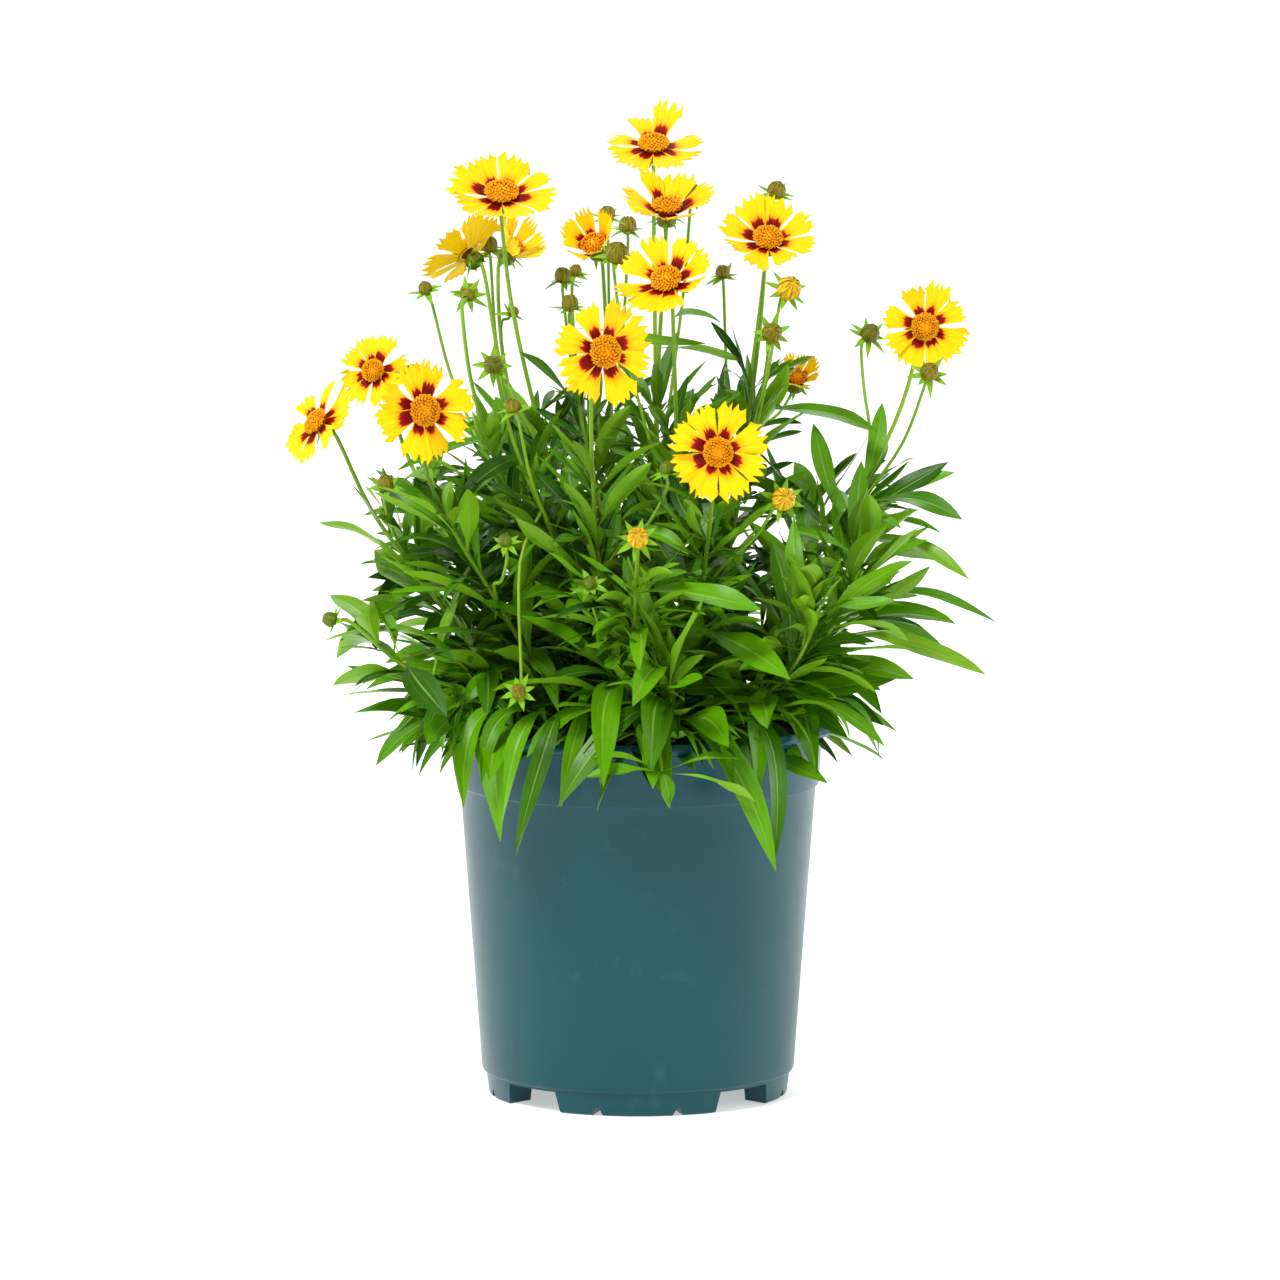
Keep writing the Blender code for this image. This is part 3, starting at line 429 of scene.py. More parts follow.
def spike(base, direction, length, width):
    """A slim three-sided bract, as points and triangles."""
    side, top = across(direction)
    ring = [base + side * width / 2, base - side * width / 2, base - top * width * 0.45]
    return [*ring, base + direction * length], [(0, 1, 3), (1, 2, 3), (2, 0, 3), (0, 2, 1)]


def dome(centre, axis, radius, height, sides, rings, bump, start=0.0):
    """A closed dome of rings whose points stand in and out by turns."""
    side, other = across(axis)
    points = []
    for i in range(rings):
        rise = start + (0.5 * math.pi - start) * i / rings
        for k in range(sides):
            turn = 2 * math.pi * (k + 0.5 * i) / sides
            out = radius * math.cos(rise) * (1 + bump * (-1) ** (k + i))
            flat = around(side, other, turn)
            points.append(centre + flat * out + axis * height * math.sin(rise))
    points += [centre + axis * height, centre + axis * height * math.sin(start)]
    top, bottom = len(points) - 2, len(points) - 1
    faces = []
    for i in range(rings - 1):
        for k in range(sides):
            a, b = i * sides + k, i * sides + (k + 1) % sides
            faces += [(a, b, a + sides), (b, b + sides, a + sides)]
    last = (rings - 1) * sides
    for k in range(sides):
        faces += [(last + k, last + (k + 1) % sides, top), ((k + 1) % sides, k, bottom)]
    return points, faces


def petal_outline(radius, hub, cup):
    """A petal's outline as (along, sideways, lift) triples: its base, then the teeth of its tip."""
    spread = math.tan(math.pi / PETAL_COUNT)
    half_base = hub * spread * 0.62
    half_tip = radius * spread * 0.82
    return (
        (hub, -half_base, 0),
        (hub, half_base, 0),
        (radius * 0.90, half_tip, cup * 0.9),
        (radius * 0.88, half_tip * 0.40, cup * 0.8),
        (radius, 0, cup),
        (radius * 0.88, -half_tip * 0.40, cup * 0.8),
        (radius * 0.90, -half_tip, cup * 0.9),
    )


PETAL_FACES = ((0, 5, 6), (0, 3, 5), (0, 1, 3), (1, 2, 3), (3, 4, 5))


# Each bloom's petals as (turn, reach, cup), filled in by petal_ring
PETALS = {}


def petal_ring(head, rng):
    """Points and triangles of a bloom's rays: a small hub with the petals growing from it."""
    axis = facing(head.azimuth, head.elevation)
    side, other = across(axis)
    young = head.kind == "young"
    centre = centre_of(head)
    points = []
    faces = []
    for k in range(PETAL_COUNT):
        turn = 2 * math.pi * (k + 0.5) / PETAL_COUNT
        reach = head.radius * rng.uniform(0.93, 1.05) * (0.72 if young else 1)
        cup = head.radius * rng.uniform(*PETAL_CUPS.get(head.name, PETAL_CUP))
        if (head.name, k) == RAISED_PETAL[:2]:
            cup = head.radius * RAISED_PETAL[2]
        PETALS.setdefault(head.name, []).append((turn, reach, cup))
        along = around(side, other, turn)
        sideways = other * math.cos(turn) - side * math.sin(turn)
        start = len(points)
        for height in (PETAL_THICKNESS / 2, -PETAL_THICKNESS / 2):
            for reach_out, off, lift in petal_outline(reach, head.radius * HUB_SHARE, cup):
                points.append(centre + along * reach_out + sideways * off + axis * (lift + height))
        for a, b, c in PETAL_FACES:
            faces += [(start + a, start + b, start + c), (start + 7 + c, start + 7 + b, start + 7 + a)]
        for a in range(1, 7):
            b = (a + 1) % 7
            faces += [(start + b, start + a, start + a + 7), (start + b, start + a + 7, start + b + 7)]
    top, bottom = len(points), len(points) + 1
    points += [centre + axis * PETAL_THICKNESS / 2, centre - axis * PETAL_THICKNESS / 2]
    for k in range(PETAL_COUNT):
        here, after = 14 * k, 14 * ((k + 1) % PETAL_COUNT)
        faces += [(top, here + 1, here), (bottom, here + 7, here + 8)]
        faces += [(top, after, here + 1), (bottom, here + 8, after + 7)]
        faces += [(here + 1, after, after + 7), (here + 1, after + 7, here + 8)]
    return points, faces


def head_seat(head):
    """Where a head's stem ends: under the hub of a bloom, or in the ball of a bud."""
    axis = facing(head.azimuth, head.elevation)
    centre = centre_of(head)
    if head.kind == "bud":
        return centre - axis * head.radius * 0.6
    return centre - axis * (PETAL_THICKNESS / 2 + GAP + 1.2)


def stem_path(start, set_off, head, bow):
    """A stem's points from start to a head: a smooth rise, then a short neck along the way it faces."""
    axis = facing(head.azimuth, head.elevation)
    seat = head_seat(head)
    neck = seat - axis * NECK
    span = (neck - start).length
    arrive = (UP * 1.4 + axis * 0.4 + (neck - start).normalized() * 0.6).normalized()
    p1 = start + set_off * span * 0.38 + bow
    p2 = neck - arrive * span * 0.30 + bow * 0.6
    count = max(3, min(6, round(span / 32)))
    path = [bezier(start, p1, p2, neck, i / count) for i in range(count + 1)]
    return [*path, seat - axis * NECK * 0.35, seat]


def root_spots(count):
    """Evenly spread places on the soil, as on a sunflower's disc."""
    golden = math.pi * (3 - math.sqrt(5))
    spots = []
    for i in range(count):
        out = ROOT_FIELD_RADIUS * math.sqrt((i + 0.5) / count)
        spots.append(Vector((out * math.cos(i * golden), out * math.sin(i * golden), 0)))
    return spots


def soil_height(x, y):
    """The soil's top at a place: a slight mound."""
    return SOIL_TOP + SOIL_CROWN * (1 - (x * x + y * y) / 66**2)


def bows(size):
    """Sideways bends to try in turn, from none to wide, for a stem that would cross another."""
    yield Vector((0, 0, 0))
    for ring in (1, 2, 3, 4, 5):
        for k in range(8):
            turn = math.pi * (k * 0.25 + 0.11 * ring)
            yield level(turn) * size * ring


def first_clear_tube(node, start, set_off, head, radii, placed):
    """The first bend of a stem that meets nothing of another node."""
    for bow in bows(2.2):
        path = stem_path(start, set_off, head, bow)
        spread = [radii[0] + (radii[1] - radii[0]) * i / (len(path) - 1) for i in range(len(path))]
        if clear_of(Piece(node, *tube(path, spread, grow=GAP)), placed):
            break
    return path, spread


def lay_out():
    """Every piece of the plant as (kind, Piece), and each shoot's main stem."""
    placed = []
    rng = random.Random(SHOOT_SEED)
    heads = []
    for head in HEADS.values():
        if head.kind == "bud":
            continue
        rays = Piece("rays_" + head.name, *petal_ring(head, rng))
        axis = facing(head.azimuth, head.elevation)
        size = head.radius * HUB_SHARE
        lift = PETAL_THICKNESS / 2 + GAP - size * DISC_RISE * math.sin(DISC_START)
        seat = centre_of(head) + axis * lift
        shape = dome(seat, axis, size, size * DISC_RISE, DISC_SIDES, 3, 0.05, DISC_START)
        disc = Piece("disc_" + head.name, *shape)
        heads += [("rays", rays), ("disc", disc)]
    placed += [p for _, p in heads]
    found = list(heads)
    stems = {}
    spots = root_spots(len(SHOOTS))
    order = sorted(SHOOTS, key=lambda s: -math.hypot(s.x, s.y))
    for shoot in order:
        want = Vector((shoot.x, shoot.y, 0)) * 0.55
        spot = min(spots, key=lambda p: (p - want).length)
        spots.remove(spot)
        foot = Vector((spot.x, spot.y, soil_height(spot.x, spot.y) - ROOT_DEPTH))
        ground = foot + UP * ROOT_DEPTH
        turn = Vector((shoot.x - spot.x, shoot.y - spot.y, (shoot.top - ground.z) * 1.25)).normalized()
        if shoot.heads:
            head = HEADS[shoot.heads[0]]
        else:
            head = Head("tip", "tip", shoot.x, shoot.y, shoot.top, 0, 80, 2.0)
        path, radii = first_clear_tube(
            shoot.name, ground, turn, head, (STEM_RADIUS, PEDUNCLE_RADIUS), placed
        )
        path = [foot, *path]
        radii = [STEM_RADIUS, *radii]
        piece = Piece(shoot.name, *tube(path, radii), (path, radii))
        placed.append(piece)
        found.append(("stem", piece))
        stems[shoot.name] = path
        for i, name in enumerate(shoot.heads[1:]):
            side_head = HEADS[name]
            at = max(2, min(len(path) - 5, 3 + i))
            along = (path[at + 1] - path[at]).normalized()
            out = centre_of(side_head) - path[at]
            set_off = (along + out.normalized()).normalized()
            branch, spread = first_clear_tube(
                shoot.name, path[at], set_off, side_head, (PEDUNCLE_RADIUS, PEDUNCLE_RADIUS * 0.85), placed
            )
            piece = Piece(shoot.name, *tube(branch, spread), (branch, spread))
            placed.append(piece)
            found.append(("stem", piece))
    for shoot in order:
        for name in shoot.heads:
            seat, *bracts = head_greens(shoot.name, HEADS[name], rng)
            if not clear_of(seat, placed):
                continue
            for piece in (seat, *(b for b in bracts if clear_of(b, placed))):
                placed.append(piece)
                found.append(("green", piece))
    return placed, found, stems, order, rng


def head_greens(node, head, rng):
    """The green under a bloom, or a bud's ball and bracts, as pieces of the shoot's node."""
    axis = facing(head.azimuth, head.elevation)
    side, other = across(axis)
    seat = head_seat(head)
    pieces = []
    if head.kind == "bud":
        ball = dome(seat, axis, head.radius, head.radius * BUD_RISE, BUD_SIDES, 2, 0.0, -0.3)
        pieces.append(Piece(node, *ball))
        size, reach, lift = head.radius * 0.62, head.radius + 3.4, 0.35
    else:
        cup = dome(seat - axis * 2.4, axis, 3.4, 3.2, BUD_SIDES, 2, 0.0, -0.6)
        pieces.append(Piece(node, *cup))
        size, reach, lift = 2.4, 8.0, -0.25
    turn_start = rng.uniform(0, 1)
    count = BRACTS if head.kind == "bud" else BRACTS - 1
    for k in range(count):
        turn = 2 * math.pi * (k + turn_start) / count
        out = around(side, other, turn)
        base = seat - axis * 0.8 + out * size * 0.4
        blade = (out + axis * (lift + rng.uniform(-0.15, 0.1))).normalized()
        pieces.append(Piece(node, *spike(base, blade, reach, 1.9 if head.kind == "bud" else 2.2)))
    return pieces


def leaf_tries():
    """How a blade is turned, raised, bent and shortened, in turn, until it meets no other node."""
    return (
        (0, 0, 1.0, 1.0),
        (11, 5, 1.1, 1.0),
        (-11, -5, 0.9, 1.0),
        (20, -8, 1.2, 0.96),
        (-20, 8, 0.8, 0.96),
        (30, 14, 1.3, 0.92),
        (-30, -14, 0.7, 0.92),
        (42, 4, 1.0, 0.86),
        (-42, 10, 1.1, 0.86),
        (10, 24, 0.6, 0.80),
        (-10, -20, 1.4, 0.76),
        (55, 12, 0.9, 0.72),
        (-55, 0, 1.2, 0.66),
        (0, 30, 0.5, 0.58),
    )


def stem_point(path, height):
    """The point of a stem at a height, and its direction there."""
    at = 1
    while at < len(path) - 2 and path[at + 1].z < height:
        at += 1
    part = (height - path[at].z) / max(path[at + 1].z - path[at].z, 1e-6)
    return path[at].lerp(path[at + 1], min(max(part, 0), 1)), (path[at + 1] - path[at]).normalized()


def grow_key_leaves(stems, placed):
    """The leaves of KEY_LEAVES, each from the stem that its length suits best."""
    leaves = []
    for x, y, z, width, arch in KEY_LEAVES:
        tip = Vector((x, y, z))
        starts = []
        for name, path in stems.items():
            for i in range(26):
                base = stem_point(path, path[1].z + 6 + 7 * i)[0]
                gap = (tip - base).length
                inward = math.hypot(x, y) - math.hypot(base.x, base.y)
                if 30 < gap < 92 and inward > 4:
                    starts.append((abs(gap - 56) + 0.5 * abs(base.z - z - 6), name, base))
        starts.sort(key=lambda s: s[0])
        for _, name, base in starts[:40]:
            # its face is turned to the front, from whichever side it grows
            roll = KEY_ROLL if base.x > tip.x else -KEY_ROLL
            shape = (base, base.lerp(tip, 0.45) + UP * arch, tip, width, roll)
            if clear_of(Piece(name, *leaf_shape(*shape, grow=GAP)), placed):
                piece = Piece(name, *leaf_shape(*shape), shape)
                placed.append(piece)
                leaves.append(piece)
                break
    return leaves


def grow_leaves(shoot, path, placed, rng):
    """The pairs of leaves up a shoot's stem, each bent clear of the other nodes."""
    leaves = []
    low = path[1].z
    for pair in range(shoot.leaves):
        share = (pair + 0.25) / shoot.leaves
        base, along = stem_point(path, low + (shoot.top - low) * share)
        outward = math.atan2(base.y, base.x)
        for k in range(2):
            azimuth = outward + math.pi * k + (pair % 2) * math.pi / 2 + rng.uniform(-0.5, 0.5)
            length = shoot.length * (1.05 - 0.45 * share) * rng.uniform(0.85, 1.1)
            width = length * rng.uniform(0.17, 0.22)
            spread = shoot.lean * (1.0 - 0.5 * share)
            droop = rng.uniform(0.35, 1.0) * (1.2 - 0.9 * share)
            roll = rng.uniform(-1.0, 1.0)
            for turn, rise, bend, scale in leaf_tries():
                lean = math.radians(max(8, spread - rise))
                yaw = azimuth + math.radians(turn)
                flat = level(yaw)
                set_off = (along * math.cos(lean) + flat * math.sin(lean)).normalized()
                middle = base + set_off * length * scale * 0.5
                tip = middle + (set_off - UP * droop * bend).normalized() * length * scale * 0.5
                if math.hypot(tip.x, tip.y) > REACH:
                    continue
                shape = (base, middle, tip, width, roll)
                if clear_of(Piece(shoot.name, *leaf_shape(*shape, grow=GAP)), placed):
                    piece = Piece(shoot.name, *leaf_shape(*shape), shape)
                    placed.append(piece)
                    leaves.append(piece)
                    break
    return leaves


def turned(name, profile, sides, material):
    """A solid turned from a closed profile of (radius, height) points, lowest outer point first."""
    points = []
    faces = []
    for k in range(sides):
        turn = 2 * math.pi * (k + 0.5) / sides
        points += [Vector((r * math.cos(turn), r * math.sin(turn), z)) for r, z in profile]
    n = len(profile)
    for k in range(sides):
        here, after = n * k, n * ((k + 1) % sides)
        faces += [(here + i, after + i, after + i + 1, here + i + 1) for i in range(n - 1)]
    top, bottom = len(points), len(points) + 1
    points += [Vector((0, 0, profile[-1][1])), Vector((0, 0, profile[0][1]))]
    for k in range(sides):
        here, after = n * k, n * ((k + 1) % sides)
        faces += [(here + n - 1, after + n - 1, top), (after, here, bottom)]
    return new_object(name, points, faces, material)


def cut(item, cutter):
    """Cuts the cutter out of item and removes it."""
    change = item.modifiers.new("cut", "BOOLEAN")
    change.operation = "DIFFERENCE"
    change.object = cutter
    bpy.context.view_layer.objects.active = item
    bpy.ops.object.modifier_apply(modifier=change.name)
    bpy.data.objects.remove(cutter)


def block(centre, size, turn, taper):
    """A cutter with four upright sides, turned about Z; taper narrows its top."""
    points = []
    for z, share in ((-0.5, 1.0), (0.5, taper)):
        for x, y in ((-0.5, -0.5), (0.5, -0.5), (0.5, 0.5), (-0.5, 0.5)):
            flat = Vector((x * size[0], y * size[1] * share, z * size[2]))
            flat.rotate(turned_by(turn))
            points.append(centre + flat)
    faces = [(3, 2, 1, 0), (4, 5, 6, 7), (0, 1, 5, 4), (1, 2, 6, 5), (2, 3, 7, 6), (3, 0, 4, 7)]
    return points, faces


def turned_by(turn):
    """A rotation about Z as a quaternion."""
    return Vector((1, 0, 0)).rotation_difference(level(turn))


def moulded_pot(name, profile, sides, material, drain_sides):
    """The moulded pot: tapered wall, ledge, band and flared lip, on four feet."""
    inner_low = FOOT_HEIGHT + BASE_THICKNESS
    pot = turned(name, profile, sides, material)
    recess = ((FOOT_RADIUS - FOOT_RING_WIDTH, -1), (FOOT_RADIUS - FOOT_RING_WIDTH, FOOT_HEIGHT))
    cut(pot, turned("recess", recess, sides, material))
    for k in range(FOOT_COUNT):
        turn = 2 * math.pi * (k + 0.5) / FOOT_COUNT
        out = level(turn)
        chord = 2 * FOOT_RADIUS * math.sin(math.radians(FOOT_GAP_DEG / 2))
        middle = out * (FOOT_RADIUS - 5) + UP * (FOOT_HEIGHT / 2 - 2)
        points, faces = block(middle, (26, chord, FOOT_HEIGHT + 2), turn, 0.86)
        cut(pot, new_object("foot_gap", points, faces, material))
        for angle in NOTCH_ANGLES:
            turn_notch = 2 * math.pi * k / FOOT_COUNT + math.radians(angle)
            out = level(turn_notch)
            middle = out * (FOOT_RADIUS - 5) + UP * (NOTCH_HEIGHT / 2 - 0.5)
            points, faces = block(middle, (26, NOTCH_WIDTH, NOTCH_HEIGHT + 1), turn_notch, 0.3)
            cut(pot, new_object("notch", points, faces, material))
        drain = ((DRAIN_RADIUS, FOOT_HEIGHT - 3), (DRAIN_RADIUS, inner_low + 3))
        turn = 2 * math.pi * k / FOOT_COUNT
        hole = turned("drain", drain, drain_sides, material)
        hole.location = level(turn) * DRAIN_RING * MM
        bpy.context.view_layer.update()
        cut(pot, hole)
    return pot


# Fine shapes, in millimetres
FINE_POT_SIDES = 192
FINE_STEM_SIDES = 7
LEAF_ROWS = 14
LEAF_COLUMNS = (-1, -0.62, -0.3, -0.06, 0.06, 0.3, 0.62, 1)
LEAF_PROFILE = (0.14, 0.16, 0.30, 0.58, 0.84, 0.98, 1.0, 0.95, 0.80, 0.50, 0.03)
PETAL_ROWS = 14
# Four columns make one tooth of the tip
PETAL_TEETH = 4
PETAL_COLUMNS = 4 * PETAL_TEETH + 1
# Half a petal's width from base to tip, as a share of its reach
PETAL_PROFILE = (0.070, 0.106, 0.136, 0.166, 0.194, 0.223, 0.252, 0.282, 0.306, 0.320, 0.305)
DOME_ROWS = 9
DOME_COLUMNS = 18
SCALES = 8
SCALE_PROFILE = (1, 1.05, 1.05, 1, 0.9, 0.72, 0.45, 0.05)
FINE_BRACTS = 8
BRACT_PROFILE = (0.75, 0.95, 1.0, 0.92, 0.68, 0.3, 0.02)
GOLDEN_TURN = math.pi * (3 - math.sqrt(5))
LEAF, STEM, BUD, BRACT = range(4)

SOIL_COLUMNS = 150
SOIL_RINGS = 44
CHIPS = 420
SOIL_SEED = 7
FOLIAGE_SEED = 900
BLOOM_SEED = 300
# The height in metres that the band's colour is measured over
BAND_SPAN = 0.15

# The studio, in metres and watts: each light's name, place, width and power
LIGHTS = (
    ("key", (-0.8, -1.3, 2.2), 0.7, 56.0),
    ("fill", (1.5, -1.2, 1.0), 1.0, 7.0),
    ("back", (0.3, 1.5, 1.9), 1.2, 16.0),
    ("left_panel", (-1.3, 0.35, 0.25), 0.8, 9.0),
    ("right_panel", (1.3, 0.35, 0.25), 0.8, 9.0),
)
LIGHT_AIM = Vector((0, 0, 0.2))
FLOOR_HALF = 14.0
FLOOR_DROP = 0.0002
WORLD_STRENGTH = 0.40
SENSOR_WIDTH = 36
AIM_X = 0.0008

# How ripe a bud is: 0 is green, 1 is about to open
BUD_RIPENESS = {
    "bud_right_big": 1.0,
    "bud_orange_right": 1.0,
    "bud_orange_mid": 1.0,
    "bud_right_near": 0.35,
    "bud_green_mid": 0.0,
    "bud_small_mid": 0.0,
    "bud_small_left": 0.1,
    "bud_leaf_left": 0.1,
    "bud_low_left": 0.2,
    "bud_star": 0.3,
}


class Patchwork:
    """Gathers the points, faces, texture places, tones and materials of one piece."""

    def __init__(self):
        self.points = []
        self.faces = []
        self.places = []
        self.tones = []
        self.kinds = []

    def add(self, points, places, faces, kind=0, tone=0.5):
        start = len(self.points)
        self.points += points
        self.places += places
        self.tones += [tone] * len(points)
        self.faces += [tuple(start + i for i in f) for f in faces]
        self.kinds += [kind] * len(faces)

    def grid(self, rows, columns, point, place, kind=0, tone=0.5, wrap=False):
        """A sheet of rows and columns; wrap closes it round, as on a stem."""
        points = []
        places = []
        faces = []
        for i in range(rows):
            for j in range(columns):
                points.append(point(i, j))
                places.append(place(i, j))
        for i in range(rows - 1):
            for j in range(columns if wrap else columns - 1):
                a, b = i * columns + j, i * columns + (j + 1) % columns
                faces.append((a, b, b + columns, a + columns))
        self.add(points, places, faces, kind, tone)

    def piece(self, name, materials, slot, *nodes):
        """The finished object, which stands for the named nodes."""
        mesh = bpy.data.meshes.new(name)
        mesh.from_pydata([p * MM for p in self.points], [], self.faces)
        for material in materials:
            mesh.materials.append(material)
        mesh.polygons.foreach_set("material_index", self.kinds)
        mesh.polygons.foreach_set("use_smooth", [True] * len(self.faces))
        layer = mesh.uv_layers.new(name="place")
        flat = []
        for loop in mesh.loops:
            flat += self.places[loop.vertex_index]
        layer.uv.foreach_set("vector", flat)
        tone = mesh.attributes.new("tone", "FLOAT", "POINT")
        tone.data.foreach_set("value", self.tones)
        mesh.update()
        item = bpy.data.objects.new(name, mesh)
        bpy.context.scene.collection.objects.link(item)
        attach(item, "root")
        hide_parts(*nodes)
        return item


def profile_at(table, share):
    """A width from a table of evenly spaced ones."""
    at = min(max(share, 0), 1) * (len(table) - 1)
    i = min(int(at), len(table) - 2)
    return table[i] + (table[i + 1] - table[i]) * (at - i)


def fine_leaf(work, base, middle, tip, width, roll, rng, tone=None):
    """One blade: lance-shaped, keeled along its rib, with a waved edge and a slight twist."""
    length = (tip - base).length
    tone = rng.random() if tone is None else tone
    wave = rng.uniform(0.25, 0.9)
    phase = rng.uniform(0, 6.28)
    swell = rng.uniform(0.85, 1.15)
    keel = rng.uniform(0.12, 0.42)
    sway = rng.uniform(-0.09, 0.09) * length
    side_of = {}
    for i in range(LEAF_ROWS + 1):
        share = i / LEAF_ROWS
        here, ahead = leaf_spine(base, middle, tip, share)
        side, top = rolled(*across(ahead), roll * share)
        here = here + side * sway * math.sin(math.pi * share)
        side_of[i] = (here, side, top, share)

    def point(i, j):
        here, side, top, share = side_of[i]
        off = LEAF_COLUMNS[j]
        half = width / 2 * profile_at(LEAF_PROFILE, share ** swell)
        rise = keel * half * abs(off) ** 1.4 - 0.15 * math.exp(-abs(off) * 9)
        rise += wave * math.sin(share * 11 + phase + (1.5 if off > 0 else 0)) * off * off * half / 5
        return here + side * half * off + top * rise

    def place(i, j):
        return (0.5 + LEAF_COLUMNS[j] / 2, i / LEAF_ROWS)

    work.grid(LEAF_ROWS + 1, len(LEAF_COLUMNS), point, place, LEAF, tone)


def fine_tube(work, path, radii, kind, tone):
    """A smooth round stem through the points of a path."""
    smooth = []
    count = len(path)
    for i in range(count - 1):
        p0, p1 = path[max(i - 1, 0)], path[i]
        p2, p3 = path[i + 1], path[min(i + 2, count - 1)]
        for k in range(4):
            t = k / 4
            here = p1 * 2 + (p2 - p0) * t + (p0 * 2 - p1 * 5 + p2 * 4 - p3) * t * t
            here += (p1 * 3 - p0 - p2 * 3 + p3) * t**3
            smooth.append((here / 2, radii[i] + (radii[i + 1] - radii[i]) * t))
    smooth.append((path[-1], radii[-1]))
    rings = []
    side = None
    for i, (here, radius) in enumerate(smooth):
        ahead = smooth[min(i + 1, len(smooth) - 1)][0] - smooth[max(i - 1, 0)][0]
        ahead.normalize()
        if side is None:
            side = across(ahead)[0]
        side = (side - ahead * side.dot(ahead)).normalized()
        rings.append((here, side.copy(), ahead.cross(side), radius))

    def point(i, j):
        here, side, other, radius = rings[i]
        turn = 2 * math.pi * j / FINE_STEM_SIDES
        return here + around(side, other, turn) * radius

    def place(i, j):
        return (j / FINE_STEM_SIDES, i / 10)

    work.grid(len(rings), FINE_STEM_SIDES, point, place, kind, tone, wrap=True)


def fine_dome(work, centre, axis, radius, height, kind, tone, low=-0.5):
    """A smooth rounded body, from a low ring up to its top."""
    side, other = across(axis)

    def point(i, j):
        rise = low + (math.pi / 2 - low) * i / DOME_ROWS
        out = radius * math.cos(rise) if i < DOME_ROWS else 0.01
        turn = 2 * math.pi * j / DOME_COLUMNS
        flat = around(side, other, turn)
        return centre + flat * out + axis * height * math.sin(rise)

    def place(i, j):
        return (j / DOME_COLUMNS, i / DOME_ROWS)

    work.grid(DOME_ROWS + 1, DOME_COLUMNS, point, place, kind, tone, wrap=True)


def fine_bract(work, base, set_off, axis, length, width, tone, curl):
    """A narrow green blade under a head, curving towards axis or away from it."""
    side = set_off.cross(axis)
    side = side.normalized() if side.length > 1e-3 else across(set_off)[0]
    rows = 7

    def point(i, j):
        share = i / rows
        here = base + set_off * length * share + axis * curl * length * share * share
        half = width / 2 * profile_at(BRACT_PROFILE, share)
        return here + side * half * (j - 1.5) / 1.5 + axis * 0.18 * abs(j - 1.5) * half

    def place(i, j):
        return (j / 3, i / rows)

    work.grid(rows + 1, 4, point, place, BRACT, tone)


def scales(work, centre, axis, radius, height, tone, top=0.86):
    """Overlapping scales that clasp a bud or a bloom's cup."""
    side, other = across(axis)
    rows, columns = 7, 5
    for n in range(SCALES):
        middle = 2 * math.pi * n / SCALES
        lift = 1.03 + 0.035 * (n % 2)

        def point(i, j):
            share = i / rows
            rise = -0.5 + (math.pi / 2 * top + 0.5) * share
            spread = math.pi / SCALES * 1.25 * profile_at(SCALE_PROFILE, share)
            turn = middle + spread * (j - 2) / 2
            flat = around(side, other, turn)
            out = radius * lift * max(math.cos(rise), 0) + 0.02
            return centre + flat * out + axis * height * lift * math.sin(rise)

        def place(i, j):
            return (j / (columns - 1), i / rows)

        work.grid(rows + 1, columns, point, place, BUD, tone + 0.01 * (n % 3))


def fine_greens(work, head, rng):
    """The bud, or the green cup and bracts under a bloom."""
    axis = facing(head.azimuth, head.elevation)
    side, other = across(axis)
    seat = head_seat(head)
    if head.kind == "bud":
        ripe = BUD_RIPENESS.get(head.name, 0.55)
        middle, rise = seat + axis * head.radius * 0.35, head.radius * (BUD_RISE - 0.38)
        fine_dome(work, middle, axis, head.radius * 0.98, rise, BUD, ripe, low=-1.2)
        scales(work, middle, axis, head.radius, rise * 1.02, ripe)
        size, reach, lift, wide = head.radius * 0.62, head.radius + 4.8, 0.15, 2.5
    else:
        fine_dome(work, seat - axis * 2.4, axis, 3.4, 3.2, BRACT, 0.5)
        scales(work, seat - axis * 2.4, axis, 3.6, 3.6, 0.2, top=0.9)
        size, reach, lift, wide = 2.4, 8.0, -0.25, 1.9
    start = rng.uniform(0, 1)
    for k in range(FINE_BRACTS):
        turn = 2 * math.pi * (k + start) / FINE_BRACTS
        out = around(side, other, turn)
        base = seat - axis * 0.8 + out * size * 0.4
        blade = (out + axis * (lift + rng.uniform(-0.6, 0.1))).normalized()
        length = reach * rng.uniform(0.75, 1.08)
        tone = rng.random()
        fine_bract(work, base, blade, axis, length, wide, tone, rng.uniform(-0.25, 0.35))


def shade(tree, kind, inputs=None, **settings):
    """A node with its settings, and its inputs set or joined."""
    made = tree.nodes.new(kind)
    for name, value in settings.items():
        setattr(made, name, value)
    for name, value in (inputs or {}).items():
        if isinstance(value, bpy.types.NodeSocket):
            tree.links.new(value, made.inputs[name])
        else:
            made.inputs[name].default_value = value
    return made


def ramp(tree, source, stops):
    """A colour ramp from (place, colour) stops."""
    made = tree.nodes.new("ShaderNodeValToRGB")
    elements = made.color_ramp.elements
    while len(elements) < len(stops):
        elements.new(0.5)
    for element, (place, colour) in zip(elements, stops):
        element.position = place
        element.color = (*colour, 1)
    tree.links.new(source, made.inputs["Fac"])
    return made.outputs["Color"]


def greys(tree, source, *stops):
    """A ramp of greys from (place, value) stops."""
    return ramp(tree, source, [(place, (value, value, value)) for place, value in stops])


def sums(tree, operation, first, second=0.0):
    """The result of one sum on values."""
    made = tree.nodes.new("ShaderNodeMath")
    made.operation = operation
    for k, value in enumerate((first, second)):
        if isinstance(value, bpy.types.NodeSocket):
            tree.links.new(value, made.inputs[k])
        else:
            made.inputs[k].default_value = value
    return made.outputs["Value"]


